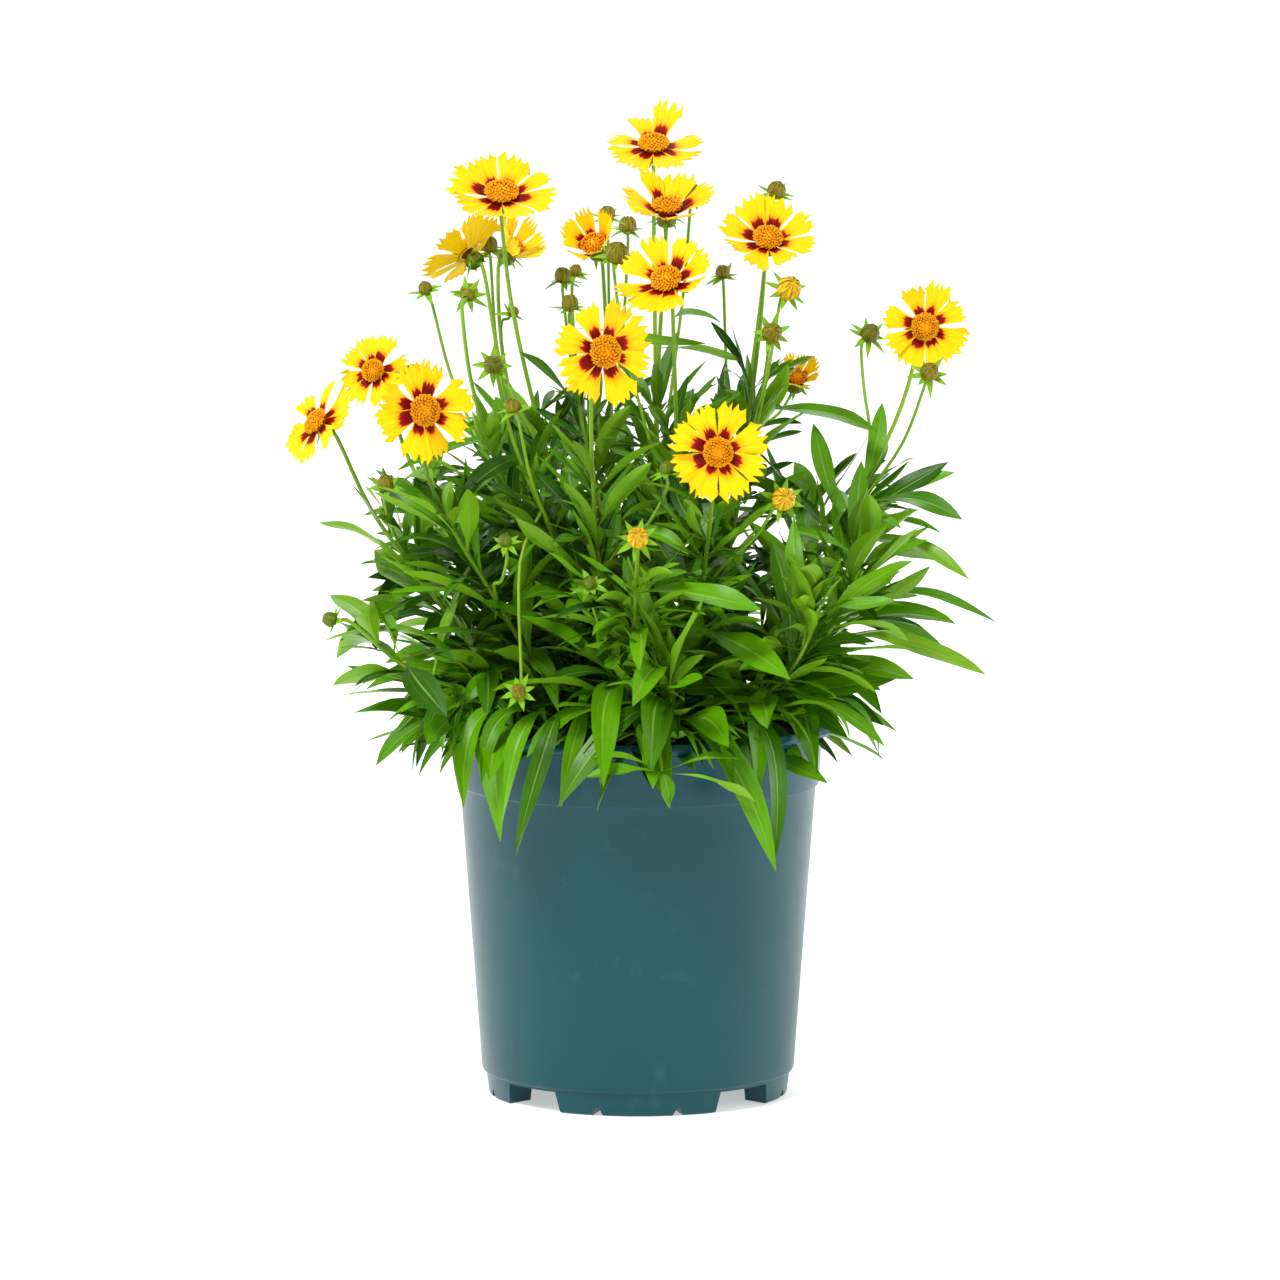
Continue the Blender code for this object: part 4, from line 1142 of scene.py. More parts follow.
def blend(tree, factor, first, second, kind="MIX"):
    """Two colours mixed."""
    made = shade(tree, "ShaderNodeMix", data_type="RGBA", blend_type=kind)
    for name, value in (("Factor_Float", factor), ("A_Color", first), ("B_Color", second)):
        socket = next(s for s in made.inputs if s.identifier == name)
        if isinstance(value, bpy.types.NodeSocket):
            tree.links.new(value, socket)
        elif name == "Factor_Float":
            socket.default_value = value
        else:
            socket.default_value = (*value, 1)
    return next(s for s in made.outputs if s.identifier == "Result_Color")


def apart(tree, value, middle):
    """How far a value is from a middle one."""
    return sums(tree, "ABSOLUTE", sums(tree, "SUBTRACT", value, middle))


def blade_inputs(tree):
    """A blade's texture place, its parts across and along, and the blade's tone."""
    place = shade(tree, "ShaderNodeUVMap", uv_map="place").outputs["UV"]
    split = shade(tree, "ShaderNodeSeparateXYZ", {"Vector": place}).outputs
    tone = shade(tree, "ShaderNodeAttribute", attribute_name="tone").outputs["Fac"]
    return place, split["X"], split["Y"], tone


def surface(name, roughness):
    """A new material's tree and its shader."""
    material = bpy.data.materials.new(name)
    material.use_nodes = True
    shader = material.node_tree.nodes["Principled BSDF"]
    shader.inputs["Roughness"].default_value = roughness
    return material, material.node_tree, shader


def streaks(tree, place, scale, stretch, detail=2.0):
    """Noise drawn out along a blade or petal, different on each."""
    tone = shade(tree, "ShaderNodeAttribute", attribute_name="tone").outputs["Fac"]
    apart = sums(tree, "MULTIPLY", tone, 31.0)
    split = shade(tree, "ShaderNodeSeparateXYZ", {"Vector": place})
    along = sums(tree, "MULTIPLY", split.outputs["Y"], stretch)
    joined = shade(tree, "ShaderNodeCombineXYZ", {"X": split.outputs["X"], "Y": along, "Z": apart})
    made = shade(
        tree, "ShaderNodeTexNoise", {"Vector": joined.outputs["Vector"], "Scale": scale, "Detail": detail}
    )
    return made.outputs["Fac"]


def relief(tree, shader, height, strength, distance):
    """Fine relief on a surface."""
    made = shade(
        tree, "ShaderNodeBump", {"Height": height, "Strength": strength, "Distance": distance}
    )
    tree.links.new(made.outputs["Normal"], shader.inputs["Normal"])


def leaf_material(looks):
    material, tree, shader = surface("coreopsis_leaf", looks.gloss)
    place, x, y, tone = blade_inputs(tree)
    from_rib = apart(tree, x, 0.5)
    deep, pale = looks.deep, looks.pale
    # a leaf's tone picks its colour from deep to pale; for the added inner leaves that tone is painted shade
    # deep in the bush and painted light at its edge, for the other leaves it is given or random
    base = ramp(tree, tone, ((0.0, deep), (0.42, looks.green), (0.82, looks.green), (1.0, pale)))
    mottle = streaks(tree, place, 5.0, 3.0, 4.0)
    base = blend(tree, sums(tree, "MULTIPLY", mottle, 0.40), base, deep)
    # pale lines: the rib, and one nerve to each side of it
    nerve = apart(tree, from_rib, 0.21)
    rib = greys(tree, from_rib, (0.0, 0.8), (0.018, 0.8), (0.045, 0))
    nerves = greys(tree, nerve, (0.0, 0.22), (0.028, 0))
    fade = greys(tree, y, (0.0, 1), (0.7, 0.55), (1.0, 0.1))
    lines = blend(tree, 1.0, blend(tree, 1.0, rib, nerves, "LIGHTEN"), fade, "MULTIPLY")
    base = blend(tree, lines, base, looks.rib)
    behind = shade(tree, "ShaderNodeNewGeometry").outputs["Backfacing"]
    base = blend(tree, sums(tree, "MULTIPLY", behind, 0.45), base, pale)
    tree.links.new(base, shader.inputs["Base Color"])
    shader.inputs["Specular IOR Level"].default_value = 0.22
    grain = streaks(tree, place, 26.0, 5.0, 3.0)
    height = blend(tree, 0.75, grain, lines)
    relief(tree, shader, height, 0.5, 0.0005)
    return material


def stem_material(looks):
    material, tree, shader = surface("coreopsis_stem", 0.45)
    shader.inputs["Specular IOR Level"].default_value = 0.2
    place = shade(tree, "ShaderNodeUVMap", uv_map="place").outputs["UV"]
    patches = streaks(tree, place, 3.0, 0.6, 3.0)
    base = ramp(tree, patches, ((0.3, looks.stem_dark), (0.7, looks.stem)))
    tree.links.new(base, shader.inputs["Base Color"])
    relief(tree, shader, streaks(tree, place, 22.0, 0.12, 1.0), 0.3, 0.0002)
    return material


def bud_material():
    material, tree, shader = surface("coreopsis_bud", 0.5)
    place, x, _, tone = blade_inputs(tree)
    body = ramp(
        tree,
        tone,
        (
            (0.0, (0.10, 0.22, 0.006)),
            (0.5, (0.17, 0.17, 0.005)),
            (0.8, (0.55, 0.38, 0.008)),
            (1.0, (0.90, 0.52, 0.008)),
        ),
    )
    edge = greys(tree, apart(tree, x, 0.5), (0.38, 0), (0.5, 0.8))
    body = blend(tree, sums(tree, "MULTIPLY", edge, 0.5), body, (0.55, 0.42, 0.05))
    dark = streaks(tree, place, 5.0, 0.25, 2.0)
    dark = greys(tree, dark, (0.38, 0), (0.62, 0.75))
    body = blend(tree, dark, body, (0.075, 0.055, 0.003))
    tree.links.new(body, shader.inputs["Base Color"])
    shader.inputs["Specular IOR Level"].default_value = 0.2
    relief(tree, shader, streaks(tree, place, 24.0, 0.3, 2.0), 0.4, 0.0003)
    return material


def bract_material(looks):
    material, tree, shader = surface("coreopsis_bract", 0.5)
    place, _, y, _ = blade_inputs(tree)
    patches = streaks(tree, place, 5.0, 0.8, 3.0)
    base = ramp(tree, patches, ((0.25, looks.green), (0.7, looks.pale)))
    tip = greys(tree, y, (0.7, 0), (1.0, 0.5))
    base = blend(tree, tip, base, (0.12, 0.10, 0.02))
    tree.links.new(base, shader.inputs["Base Color"])
    shader.inputs["Specular IOR Level"].default_value = 0.15
    relief(tree, shader, streaks(tree, place, 24.0, 0.4, 2.0), 0.3, 0.0003)
    return material


def petal_material(looks):
    material, tree, shader = surface("coreopsis_petal", 0.6)
    place, x, y, tone = blade_inputs(tree)
    from_rib = apart(tree, x, 0.5)
    ragged = sums(tree, "MULTIPLY", sums(tree, "SUBTRACT", streaks(tree, place, 7.5, 0.25, 2.0), 0.5), 0.30)
    # the blotch stops short of the petal's sides, which stay yellow
    square = sums(tree, "POWER", sums(tree, "MULTIPLY", from_rib, 2.0), 4.0)
    bowed = sums(tree, "MULTIPLY", square, 0.36)
    reach = sums(tree, "ADD", sums(tree, "ADD", y, ragged), bowed)
    reach = sums(tree, "ADD", reach, sums(tree, "MULTIPLY", sums(tree, "SUBTRACT", tone, 0.5), 0.14))
    dark, red = looks.eye_dark, looks.eye
    base = ramp(
        tree,
        reach,
        (
            (0.0, dark),
            (0.27, dark),
            (0.375, red),
            (0.405, (0.80, 0.16, 0.0)),
            (0.435, looks.yellow_deep),
            (0.60, looks.yellow),
            (1.0, looks.yellow),
        ),
    )
    lines = streaks(tree, place, 16.0, 0.08, 1.0)
    lines = greys(tree, lines, (0.35, 0.25), (0.6, 0))
    base = blend(tree, lines, base, blend(tree, 1.0, base, (0.86, 0.62, 0.2), "MULTIPLY"))
    behind = shade(tree, "ShaderNodeNewGeometry").outputs["Backfacing"]
    base = blend(tree, sums(tree, "MULTIPLY", behind, 0.9), base, looks.yellow)
    tree.links.new(base, shader.inputs["Base Color"])
    # painted light: the petal glows faintly in its own colour, standing in for daylight through the thin
    # petal, and so lifts its shaded side
    tree.links.new(base, shader.inputs["Emission Color"])
    shader.inputs["Emission Strength"].default_value = 0.14
    shader.inputs["Specular IOR Level"].default_value = 0.12
    relief(tree, shader, streaks(tree, place, 18.0, 0.06, 1.0), 0.45, 0.0005)
    return material


def floret_material(looks):
    material, tree, shader = surface("coreopsis_floret", 0.65)
    _, _, y, tone = blade_inputs(tree)
    shaded = ((0.0, (0.22, 0.05, 0.002)), (0.35, (0.62, 0.20, 0.004)))
    body = ramp(tree, y, (*shaded, (0.75, looks.disc), (1.0, looks.disc_light)))
    body = blend(tree, greys(tree, tone, (0.75, 0), (1.0, 0.8)), body, (0.40, 0.10, 0.003))
    tree.links.new(body, shader.inputs["Base Color"])
    shader.inputs["Specular IOR Level"].default_value = 0.1
    return material


def pot_material(looks):
    material, tree, shader = surface("pot_plastic", looks.gloss)
    where = shade(tree, "ShaderNodeTexCoord").outputs["Object"]
    cloud = shade(tree, "ShaderNodeTexNoise", {"Vector": where, "Scale": 22.0, "Detail": 3.0})
    base = ramp(
        tree,
        cloud.outputs["Fac"],
        ((0.3, looks.teal), (0.7, tuple(c * 1.10 for c in looks.teal))),
    )
    height = shade(tree, "ShaderNodeSeparateXYZ", {"Vector": where}).outputs["Z"]
    band = greys(tree, sums(tree, "MULTIPLY", height, 1 / BAND_SPAN), (0.79, 0), (0.82, 1))
    base = blend(tree, sums(tree, "MULTIPLY", band, 0.5), base, looks.band)
    patchy = {"Vector": where, "Scale": 60.0, "Detail": 6.0, "Roughness": 0.65}
    dust = shade(tree, "ShaderNodeTexNoise", patchy)
    scuff = greys(tree, dust.outputs["Fac"], (0.60, 0), (0.78, 0.10))
    base = blend(tree, scuff, base, (0.2, 0.27, 0.27))
    tree.links.new(base, shader.inputs["Base Color"])
    rough = shade(tree, "ShaderNodeMapRange", {"Value": dust.outputs["Fac"]})
    rough.inputs["To Min"].default_value = looks.gloss - 0.05
    rough.inputs["To Max"].default_value = looks.gloss + 0.10
    tree.links.new(rough.outputs["Result"], shader.inputs["Roughness"])
    shader.inputs["Specular IOR Level"].default_value = 0.24
    grain = shade(tree, "ShaderNodeTexNoise", {"Vector": where, "Scale": 900.0, "Detail": 2.0})
    relief(tree, shader, grain.outputs["Fac"], 0.10, 0.0003)
    return material


def soil_material():
    material, tree, shader = surface("potting_mix", 0.95)
    where = shade(tree, "ShaderNodeTexCoord").outputs["Object"]
    tone = shade(tree, "ShaderNodeAttribute", attribute_name="tone").outputs["Fac"]
    crumbs = shade(tree, "ShaderNodeTexVoronoi", {"Vector": where, "Scale": 420.0})
    base = ramp(
        tree,
        crumbs.outputs["Distance"],
        ((0.0, (0.055, 0.034, 0.020)), (0.5, (0.022, 0.013, 0.008)), (1.0, (0.008, 0.005, 0.003))),
    )
    base = blend(tree, greys(tree, tone, (0.55, 0), (1.0, 0.9)), base, (0.13, 0.075, 0.04))
    tree.links.new(base, shader.inputs["Base Color"])
    fine = shade(tree, "ShaderNodeTexNoise", {"Vector": where, "Scale": 900.0, "Detail": 6.0})
    relief(tree, shader, fine.outputs["Fac"], 0.7, 0.0008)
    return material


def floor_material(looks):
    material, tree, shader = surface("studio_floor", 0.75)
    where = shade(tree, "ShaderNodeTexCoord").outputs["Object"]
    cloud = shade(tree, "ShaderNodeTexNoise", {"Vector": where, "Scale": 3.0})
    pale = tuple(looks.floor)
    base = ramp(tree, cloud.outputs["Fac"], ((0.3, pale), (0.7, tuple(min(c * 1.02, 1) for c in pale))))
    tree.links.new(base, shader.inputs["Base Color"])
    shader.inputs["Specular IOR Level"].default_value = 0.2
    shader.inputs["Emission Color"].default_value = (1, 1, 1, 1)
    # the floor grows a little paler away from the pot, so no line shows behind it
    away = shade(tree, "ShaderNodeVectorMath", {"Vector": where}, operation="LENGTH").outputs["Value"]
    paler = greys(tree, sums(tree, "DIVIDE", away, 3.0), (0.1, 0.46), (0.8, 0.72))
    tree.links.new(paler, shader.inputs["Emission Strength"])
    return material


# Layout worked out by grow_plan
PLANT = {}


def grow_plan():
    """The plant's layout, worked out once: every piece, and each shoot's stems and leaves."""
    if not PLANT:
        placed, found, stems, order, rng = lay_out()
        for name in ("pot", "soil"):
            mesh = bpy.data.objects[name].data
            points = [v.co / MM for v in mesh.vertices]
            placed.append(Piece(name, points, [tuple(f.vertices) for f in mesh.polygons]))
        leaves = grow_key_leaves(stems, placed)
        for shoot in order:
            leaves += grow_leaves(shoot, stems[shoot.name], placed, rng)
        made = {shoot.name: ([], []) for shoot in SHOOTS}
        for kind, piece in found:
            if kind == "stem":
                made[piece.node][0].append(piece.made_from)
        for piece in leaves:
            made[piece.node][1].append(piece.made_from)
        PLANT.update(stems=stems, made=made)
    return PLANT


def pot_profile():
    """The pot's section, with its corners rounded, from the foot up and back down inside."""
    low = FOOT_HEIGHT + BASE_THICKNESS
    slope = (WALL_TOP_RADIUS - WALL_BOTTOM_RADIUS) / (BAND_HEIGHT - FOOT_HEIGHT - 2.2)
    wall = [(WALL_BOTTOM_RADIUS + slope * k * 10, FOOT_HEIGHT + 2.2 + k * 10) for k in range(1, 11)]
    return (
        (FOOT_RADIUS - 0.7, 0),
        (FOOT_RADIUS - 0.2, 0.2),
        (FOOT_RADIUS, 0.7),
        (FOOT_TOP_RADIUS, FOOT_HEIGHT - 0.8),
        (FOOT_TOP_RADIUS + 0.2, FOOT_HEIGHT - 0.2),
        (WALL_BOTTOM_RADIUS - 0.4, FOOT_HEIGHT + 0.4),
        (WALL_BOTTOM_RADIUS, FOOT_HEIGHT + 1.2),
        *wall,
        (WALL_TOP_RADIUS, BAND_HEIGHT - 1.2),
        (WALL_TOP_RADIUS + 0.2, BAND_HEIGHT - 0.8),
        (BAND_RADIUS - 0.3, BAND_HEIGHT - 0.4),
        (BAND_RADIUS, BAND_HEIGHT + 0.2),
        (BAND_RADIUS + 0.5, BAND_HEIGHT + 8),
        (BAND_RADIUS + 1.0, LIP_HEIGHT - 2.2),
        (BAND_RADIUS + 1.5, LIP_HEIGHT - 1.2),
        (LIP_RADIUS - 1.2, LIP_HEIGHT + 0.1),
        (LIP_RADIUS - 0.3, LIP_HEIGHT + 0.9),
        (LIP_RADIUS, LIP_HEIGHT + 2.0),
        (LIP_RADIUS - 0.1, LIP_HEIGHT + 3.1),
        (LIP_RADIUS - 0.8, POT_HEIGHT),
        (LIP_RADIUS - 2.2, POT_HEIGHT + 0.1),
        (LIP_RADIUS - 4.2, POT_HEIGHT - 0.5),
        (BAND_RADIUS + 1.0 - WALL, LIP_HEIGHT - 1.0),
        (WALL_TOP_RADIUS - WALL, BAND_HEIGHT),
        (WALL_BOTTOM_RADIUS - WALL, low + 1.5),
        (WALL_BOTTOM_RADIUS - WALL - 2.5, low),
    )


def colour(name, description, default):
    """A colour in the panel."""
    return bpy.props.FloatVectorProperty(
        name=name, description=description, subtype="COLOR", default=default
    )


class PotLooks(bpy.types.PropertyGroup):
    teal: colour("Plastic", "Colour of the moulded plastic", (0.003, 0.060, 0.073))
    band: colour("Band", "Colour of the band under the lip", (0.004, 0.054, 0.078))
    gloss: bpy.props.FloatProperty(
        name="Roughness", description="How matt the plastic is", subtype="FACTOR", default=0.29, min=0, max=1
    )


class PlantLooks(bpy.types.PropertyGroup):
    green: colour("Leaf", "Colour of most leaves", (0.122, 0.36, 0.001))
    deep: colour("Shaded leaf", "Colour of the darkest leaves", (0.010, 0.070, 0.0005))
    # pale is partly the colour of young leaves and undersides and partly painted light: the colour the outer,
    # higher added leaves take on
    pale: colour("Young leaf", "Colour of young leaves and undersides", (0.25, 0.48, 0.02))
    rib: colour("Rib", "Colour of a leaf's rib", (0.30, 0.52, 0.09))
    stem: colour("Stem", "Colour of stems", (0.24, 0.42, 0.02))
    stem_dark: colour("Shaded stem", "Darker parts of stems", (0.12, 0.29, 0.01))
    gloss: bpy.props.FloatProperty(
        name="Leaf roughness", description="How matt a leaf is", subtype="FACTOR", default=0.31, min=0, max=1
    )
    slender: bpy.props.FloatProperty(
        name="Stem width", description="Width of stems against the solids'", default=0.84, min=0.5, max=1
    )
    lobed: bpy.props.FloatProperty(
        name="Lobed leaves",
        description="Share of the added leaves with two side lobes",
        default=0.16,
        min=0,
        max=1,
    )
    inner_rows: bpy.props.IntProperty(
        name="Inner whorls", description="Whorls of leaves added up each stem", default=16, min=0, max=40
    )
    whorl: bpy.props.IntProperty(
        name="Leaves in a whorl", description="Leaves in each added whorl", default=4, min=1, max=6
    )


class BloomLooks(bpy.types.PropertyGroup):
    yellow: colour("Petal", "Colour of petals", (0.88, 0.565, 0.001))
    yellow_deep: colour("Petal base", "Deeper yellow near the eye", (0.84, 0.42, 0.001))
    eye: colour("Eye", "Red of the eye's edge", (0.29, 0.004, 0.0005))
    eye_dark: colour("Eye centre", "Darkest red of the eye", (0.135, 0.001, 0.0005))
    disc: colour("Florets", "Colour of the florets", (0.90, 0.33, 0.002))
    disc_light: colour("Floret tips", "Colour of open floret tips", (0.98, 0.50, 0.004))
    florets: bpy.props.IntProperty(
        name="Florets", description="Florets on a full disc", default=130, min=20, max=300
    )


class StageLooks(bpy.types.PropertyGroup):
    floor: colour("Floor", "Colour of the studio floor", (0.9, 0.9, 0.9))
    distance: bpy.props.FloatProperty(
        name="Camera distance",
        description="From the camera to the plant",
        unit="LENGTH",
        default=4.0,
        min=0.5,
    )
    elevation: bpy.props.FloatProperty(
        name="Camera elevation", description="How far the camera looks down, in degrees", default=7.7
    )
    aim: bpy.props.FloatProperty(
        name="Aim height", description="Height that the camera looks at", unit="LENGTH", default=0.1756
    )
    view_width: bpy.props.FloatProperty(
        name="View width", description="Width that the picture shows", unit="LENGTH", default=0.4922
    )


class COREOPSIS_OT_pot(bpy.types.Operator):
    """Make the moulded nursery pot"""

    bl_idname = "coreopsis.pot"
    bl_label = "Pot"

    def execute(self, context):
        looks = context.scene.coreopsis_pot
        pot = moulded_pot("nursery_pot", pot_profile(), FINE_POT_SIDES, pot_material(looks), 24)
        for face in pot.data.polygons:
            face.use_smooth = True
        pot.data.set_sharp_from_angle(angle=math.radians(38))
        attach(pot, "root")
        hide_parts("pot")
        return {"FINISHED"}


class COREOPSIS_OT_soil(bpy.types.Operator):
    """Make the potting mix with its crumbs and bark"""

    bl_idname = "coreopsis.soil"
    bl_label = "Potting mix"

    def execute(self, context):
        rng = random.Random(SOIL_SEED)
        work = Patchwork()
        low = FOOT_HEIGHT + BASE_THICKNESS + GAP
        rim = WALL_TOP_RADIUS - WALL - 0.4
        rings = [(0.05, low), (WALL_BOTTOM_RADIUS - WALL - 3.4, low)]
        rings += [(WALL_BOTTOM_RADIUS - WALL - 0.9, low + 3.5)]
        rings += [(rim - 0.2, BAND_HEIGHT), (rim + 0.2, SOIL_TOP)]
        rings += [(rim * (1 - k / SOIL_RINGS), None) for k in range(1, SOIL_RINGS)] + [(0.05, None)]

        def point(i, j):
            radius, height = rings[i]
            turn = 2 * math.pi * j / SOIL_COLUMNS
            x, y = radius * math.cos(turn), radius * math.sin(turn)
            if height is None:
                lump = noise.noise(Vector((x, y, 0)) / 9) * 1.8 + noise.noise(Vector((x, y, 5)) / 2.6) * 1.3
                height = soil_height(x, y) + lump
            return Vector((x, y, height))

        def place(i, j):
            return (j / SOIL_COLUMNS, i / len(rings))

        work.grid(len(rings), SOIL_COLUMNS, point, place, 0, 0.3, wrap=True)
        for _ in range(CHIPS):
            turn = rng.uniform(0, 2 * math.pi)
            out = rim * math.sqrt(rng.random()) * 0.97
            x, y = out * math.cos(turn), out * math.sin(turn)
            size = Vector((rng.uniform(1.2, 4.0), rng.uniform(0.8, 2.0), rng.uniform(0.5, 1.2)))
            chip(work, Vector((x, y, soil_height(x, y) + 0.6)), size, rng)
        work.piece("potting_mix", [soil_material()], "soil", "soil")
        return {"FINISHED"}


def chip(work, centre, size, rng):
    """A flake of bark or crumb of peat lying on the mix."""
    spin = Matrix.Rotation(rng.uniform(0, 6.28), 3, "Z") @ Matrix.Rotation(rng.uniform(-0.6, 0.6), 3, "X")
    points = []
    for z in (-1, 1):
        for k in range(5):
            turn = 2 * math.pi * k / 5
            reach = rng.uniform(0.7, 1.1) * (0.85 if z > 0 else 1)
            flat = Vector((math.cos(turn) * size.x * reach, math.sin(turn) * size.y * reach, z * size.z))
            points.append(centre + spin @ flat)
    faces = [(4, 3, 2, 1, 0), (5, 6, 7, 8, 9)]
    faces += [(k, (k + 1) % 5, 5 + (k + 1) % 5, 5 + k) for k in range(5)]
    work.add(points, [(0.5, 0.5)] * 10, faces, 0, rng.random())


def extra_leaves(work, shoot, path, looks, rng):
    """The many smaller leaves between the main ones, in whorls up a stem."""
    low = path[1].z
    for row in range(looks.inner_rows):
        share = (row + rng.random()) / looks.inner_rows
        base, along = stem_point(path, low + 4 + (shoot.top - low - 4) * share)
        for k in range(looks.whorl):
            azimuth = rng.uniform(0, 2 * math.pi)
            length = shoot.length * rng.uniform(0.40, 0.92) * (1.05 - 0.35 * share)
            lean = math.radians(rng.uniform(22, 96) * (1.0 - 0.30 * share))
            flat = level(azimuth)
            set_off = (along * math.cos(lean) + flat * math.sin(lean)).normalized()
            middle = base + set_off * length * 0.5
            droop = rng.uniform(-0.1, 1.9) * (1.1 - 0.7 * share)
            tip = middle + (set_off - UP * droop).normalized() * length * 0.5
            out = math.hypot(tip.x, tip.y)
            if out > REACH - 6 or tip.z < SOIL_TOP - 4 and out < LIP_RADIUS + 3:
                continue
            width = length * rng.uniform(0.12, 0.19)
            roll = rng.uniform(-1.3, 1.3)
            # painted shade and light: the tone, which picks a leaf's colour from the shaded-leaf colour to
            # the pale one, is darker the nearer the tip is to the middle of the bush and the lower the leaf
            # grows, and paler out at the edge and higher up
            tone = rng.random() * (0.15 + 0.85 * min(out / REACH, 1)) * (0.6 + 0.4 * share)
            fine_leaf(work, base, middle, tip, width, roll, rng, tone)
            if rng.random() < looks.lobed:
                side = across(set_off)[0]
                fork, ahead = leaf_spine(base, middle, tip, rng.uniform(0.25, 0.4))
                for way in (-1, 1):
                    lobe = (ahead + side * way * rng.uniform(0.5, 0.8) + UP * 0.1).normalized()
                    end = fork + lobe * length * rng.uniform(0.30, 0.42)
                    fine_leaf(work, fork, fork.lerp(end, 0.5) + UP * 0.8, end, width * 0.6, roll, rng, tone)


# Leaves that hang over the rim, and the low sprig in front: the shoot, the tip, the width
RIM_LEAVES = (
    ("shoot_low_left", -66, -68, 121, 9),
    ("shoot_star", -52, -84, 112, 9),
    ("shoot_star", -46, -86, 105, 9),
    ("shoot_star", -29, -88, 124, 8),
    ("shoot_low_left", -59, -80, 131, 8),
    ("leafy_front", -14, -86, 131, 6),
    ("leafy_front", 4, -96, 139, 12),
    ("leafy_right_front", 36, -88, 131, 7),
    ("leafy_right_front", 51, -90, 102, 10),
    ("leafy_right_front", 67, -78, 136, 8),
    ("leafy_right_front", 80, -70, 147, 9),
    ("leafy_right", 92, -42, 137, 8),
    ("shoot_low_left", -74, -62, 141, 9),
    ("shoot_low_left", -86, -42, 131, 9),
    ("shoot_low_left", -80, -62, 144, 8),
)
SPRIG = ("leafy_front", Vector((9, -94, 138)))
SPRIG_TIPS = (
    (-20, -92, 136, 7),
    (44, -95, 127, 9),
    (12, -97, 126, 6),
    (-17, -90, 143, 7),
    (38, -93, 143, 8),
)


def rim_leaves(work, shoot, rng):
    """The leaves of a shoot that arch over the rim and hang before the pot."""
    for name, x, y, z, width in RIM_LEAVES:
        if name == shoot.name:
            flat = Vector((x, y, 0))
            base = flat * 0.62 + UP * (POT_HEIGHT + 8)
            middle = flat * 0.97 + UP * (POT_HEIGHT + 22)
            middle += Vector((-y, x, 0)).normalized() * rng.uniform(-6, 6)
            roll = rng.uniform(-1.1, 1.1)
            tone = 0.08 + 0.5 * rng.random()
            fine_leaf(work, base, middle, Vector((x, y, z)), width * 0.86, roll, rng, tone)
    name, joint = SPRIG
    if name == shoot.name:
        foot = Vector((4, -58, POT_HEIGHT + 2))
        path = [foot, foot.lerp(joint, 0.5) + UP * 12, joint]
        fine_tube(work, path, [STEM_RADIUS, PEDUNCLE_RADIUS, PEDUNCLE_RADIUS], STEM, 0.5)
        for x, y, z, width in SPRIG_TIPS:
            tip = Vector((x, y, z))
            middle = joint.lerp(tip, 0.5) + UP * 5
            fine_leaf(work, joint, middle, tip, width, rng.uniform(-0.9, 0.9), rng, 0.8)


class COREOPSIS_OT_shoots(bpy.types.Operator):
    """Make the stems, leaves, buds and bracts"""

    bl_idname = "coreopsis.shoots"
    bl_label = "Leafy shoots"

    def execute(self, context):
        looks = context.scene.coreopsis_plant
        plan = grow_plan()
        materials = [leaf_material(looks), stem_material(looks), bud_material(), bract_material(looks)]
        for number, shoot in enumerate(SHOOTS):
            rng = random.Random(FOLIAGE_SEED + number)
            work = Patchwork()
            stalks, leaves = plan["made"][shoot.name]
            for path, radii in stalks:
                fine_tube(work, path, [r * looks.slender for r in radii], STEM, rng.random())
            for shape in leaves:
                fine_leaf(work, *shape, rng)
            extra_leaves(work, shoot, plan["stems"][shoot.name], looks, rng)
            rim_leaves(work, shoot, rng)
            for name in shoot.heads:
                fine_greens(work, HEADS[name], rng)
            work.piece(shoot.name + "_fine", materials, "foliage", shoot.name)
        return {"FINISHED"}


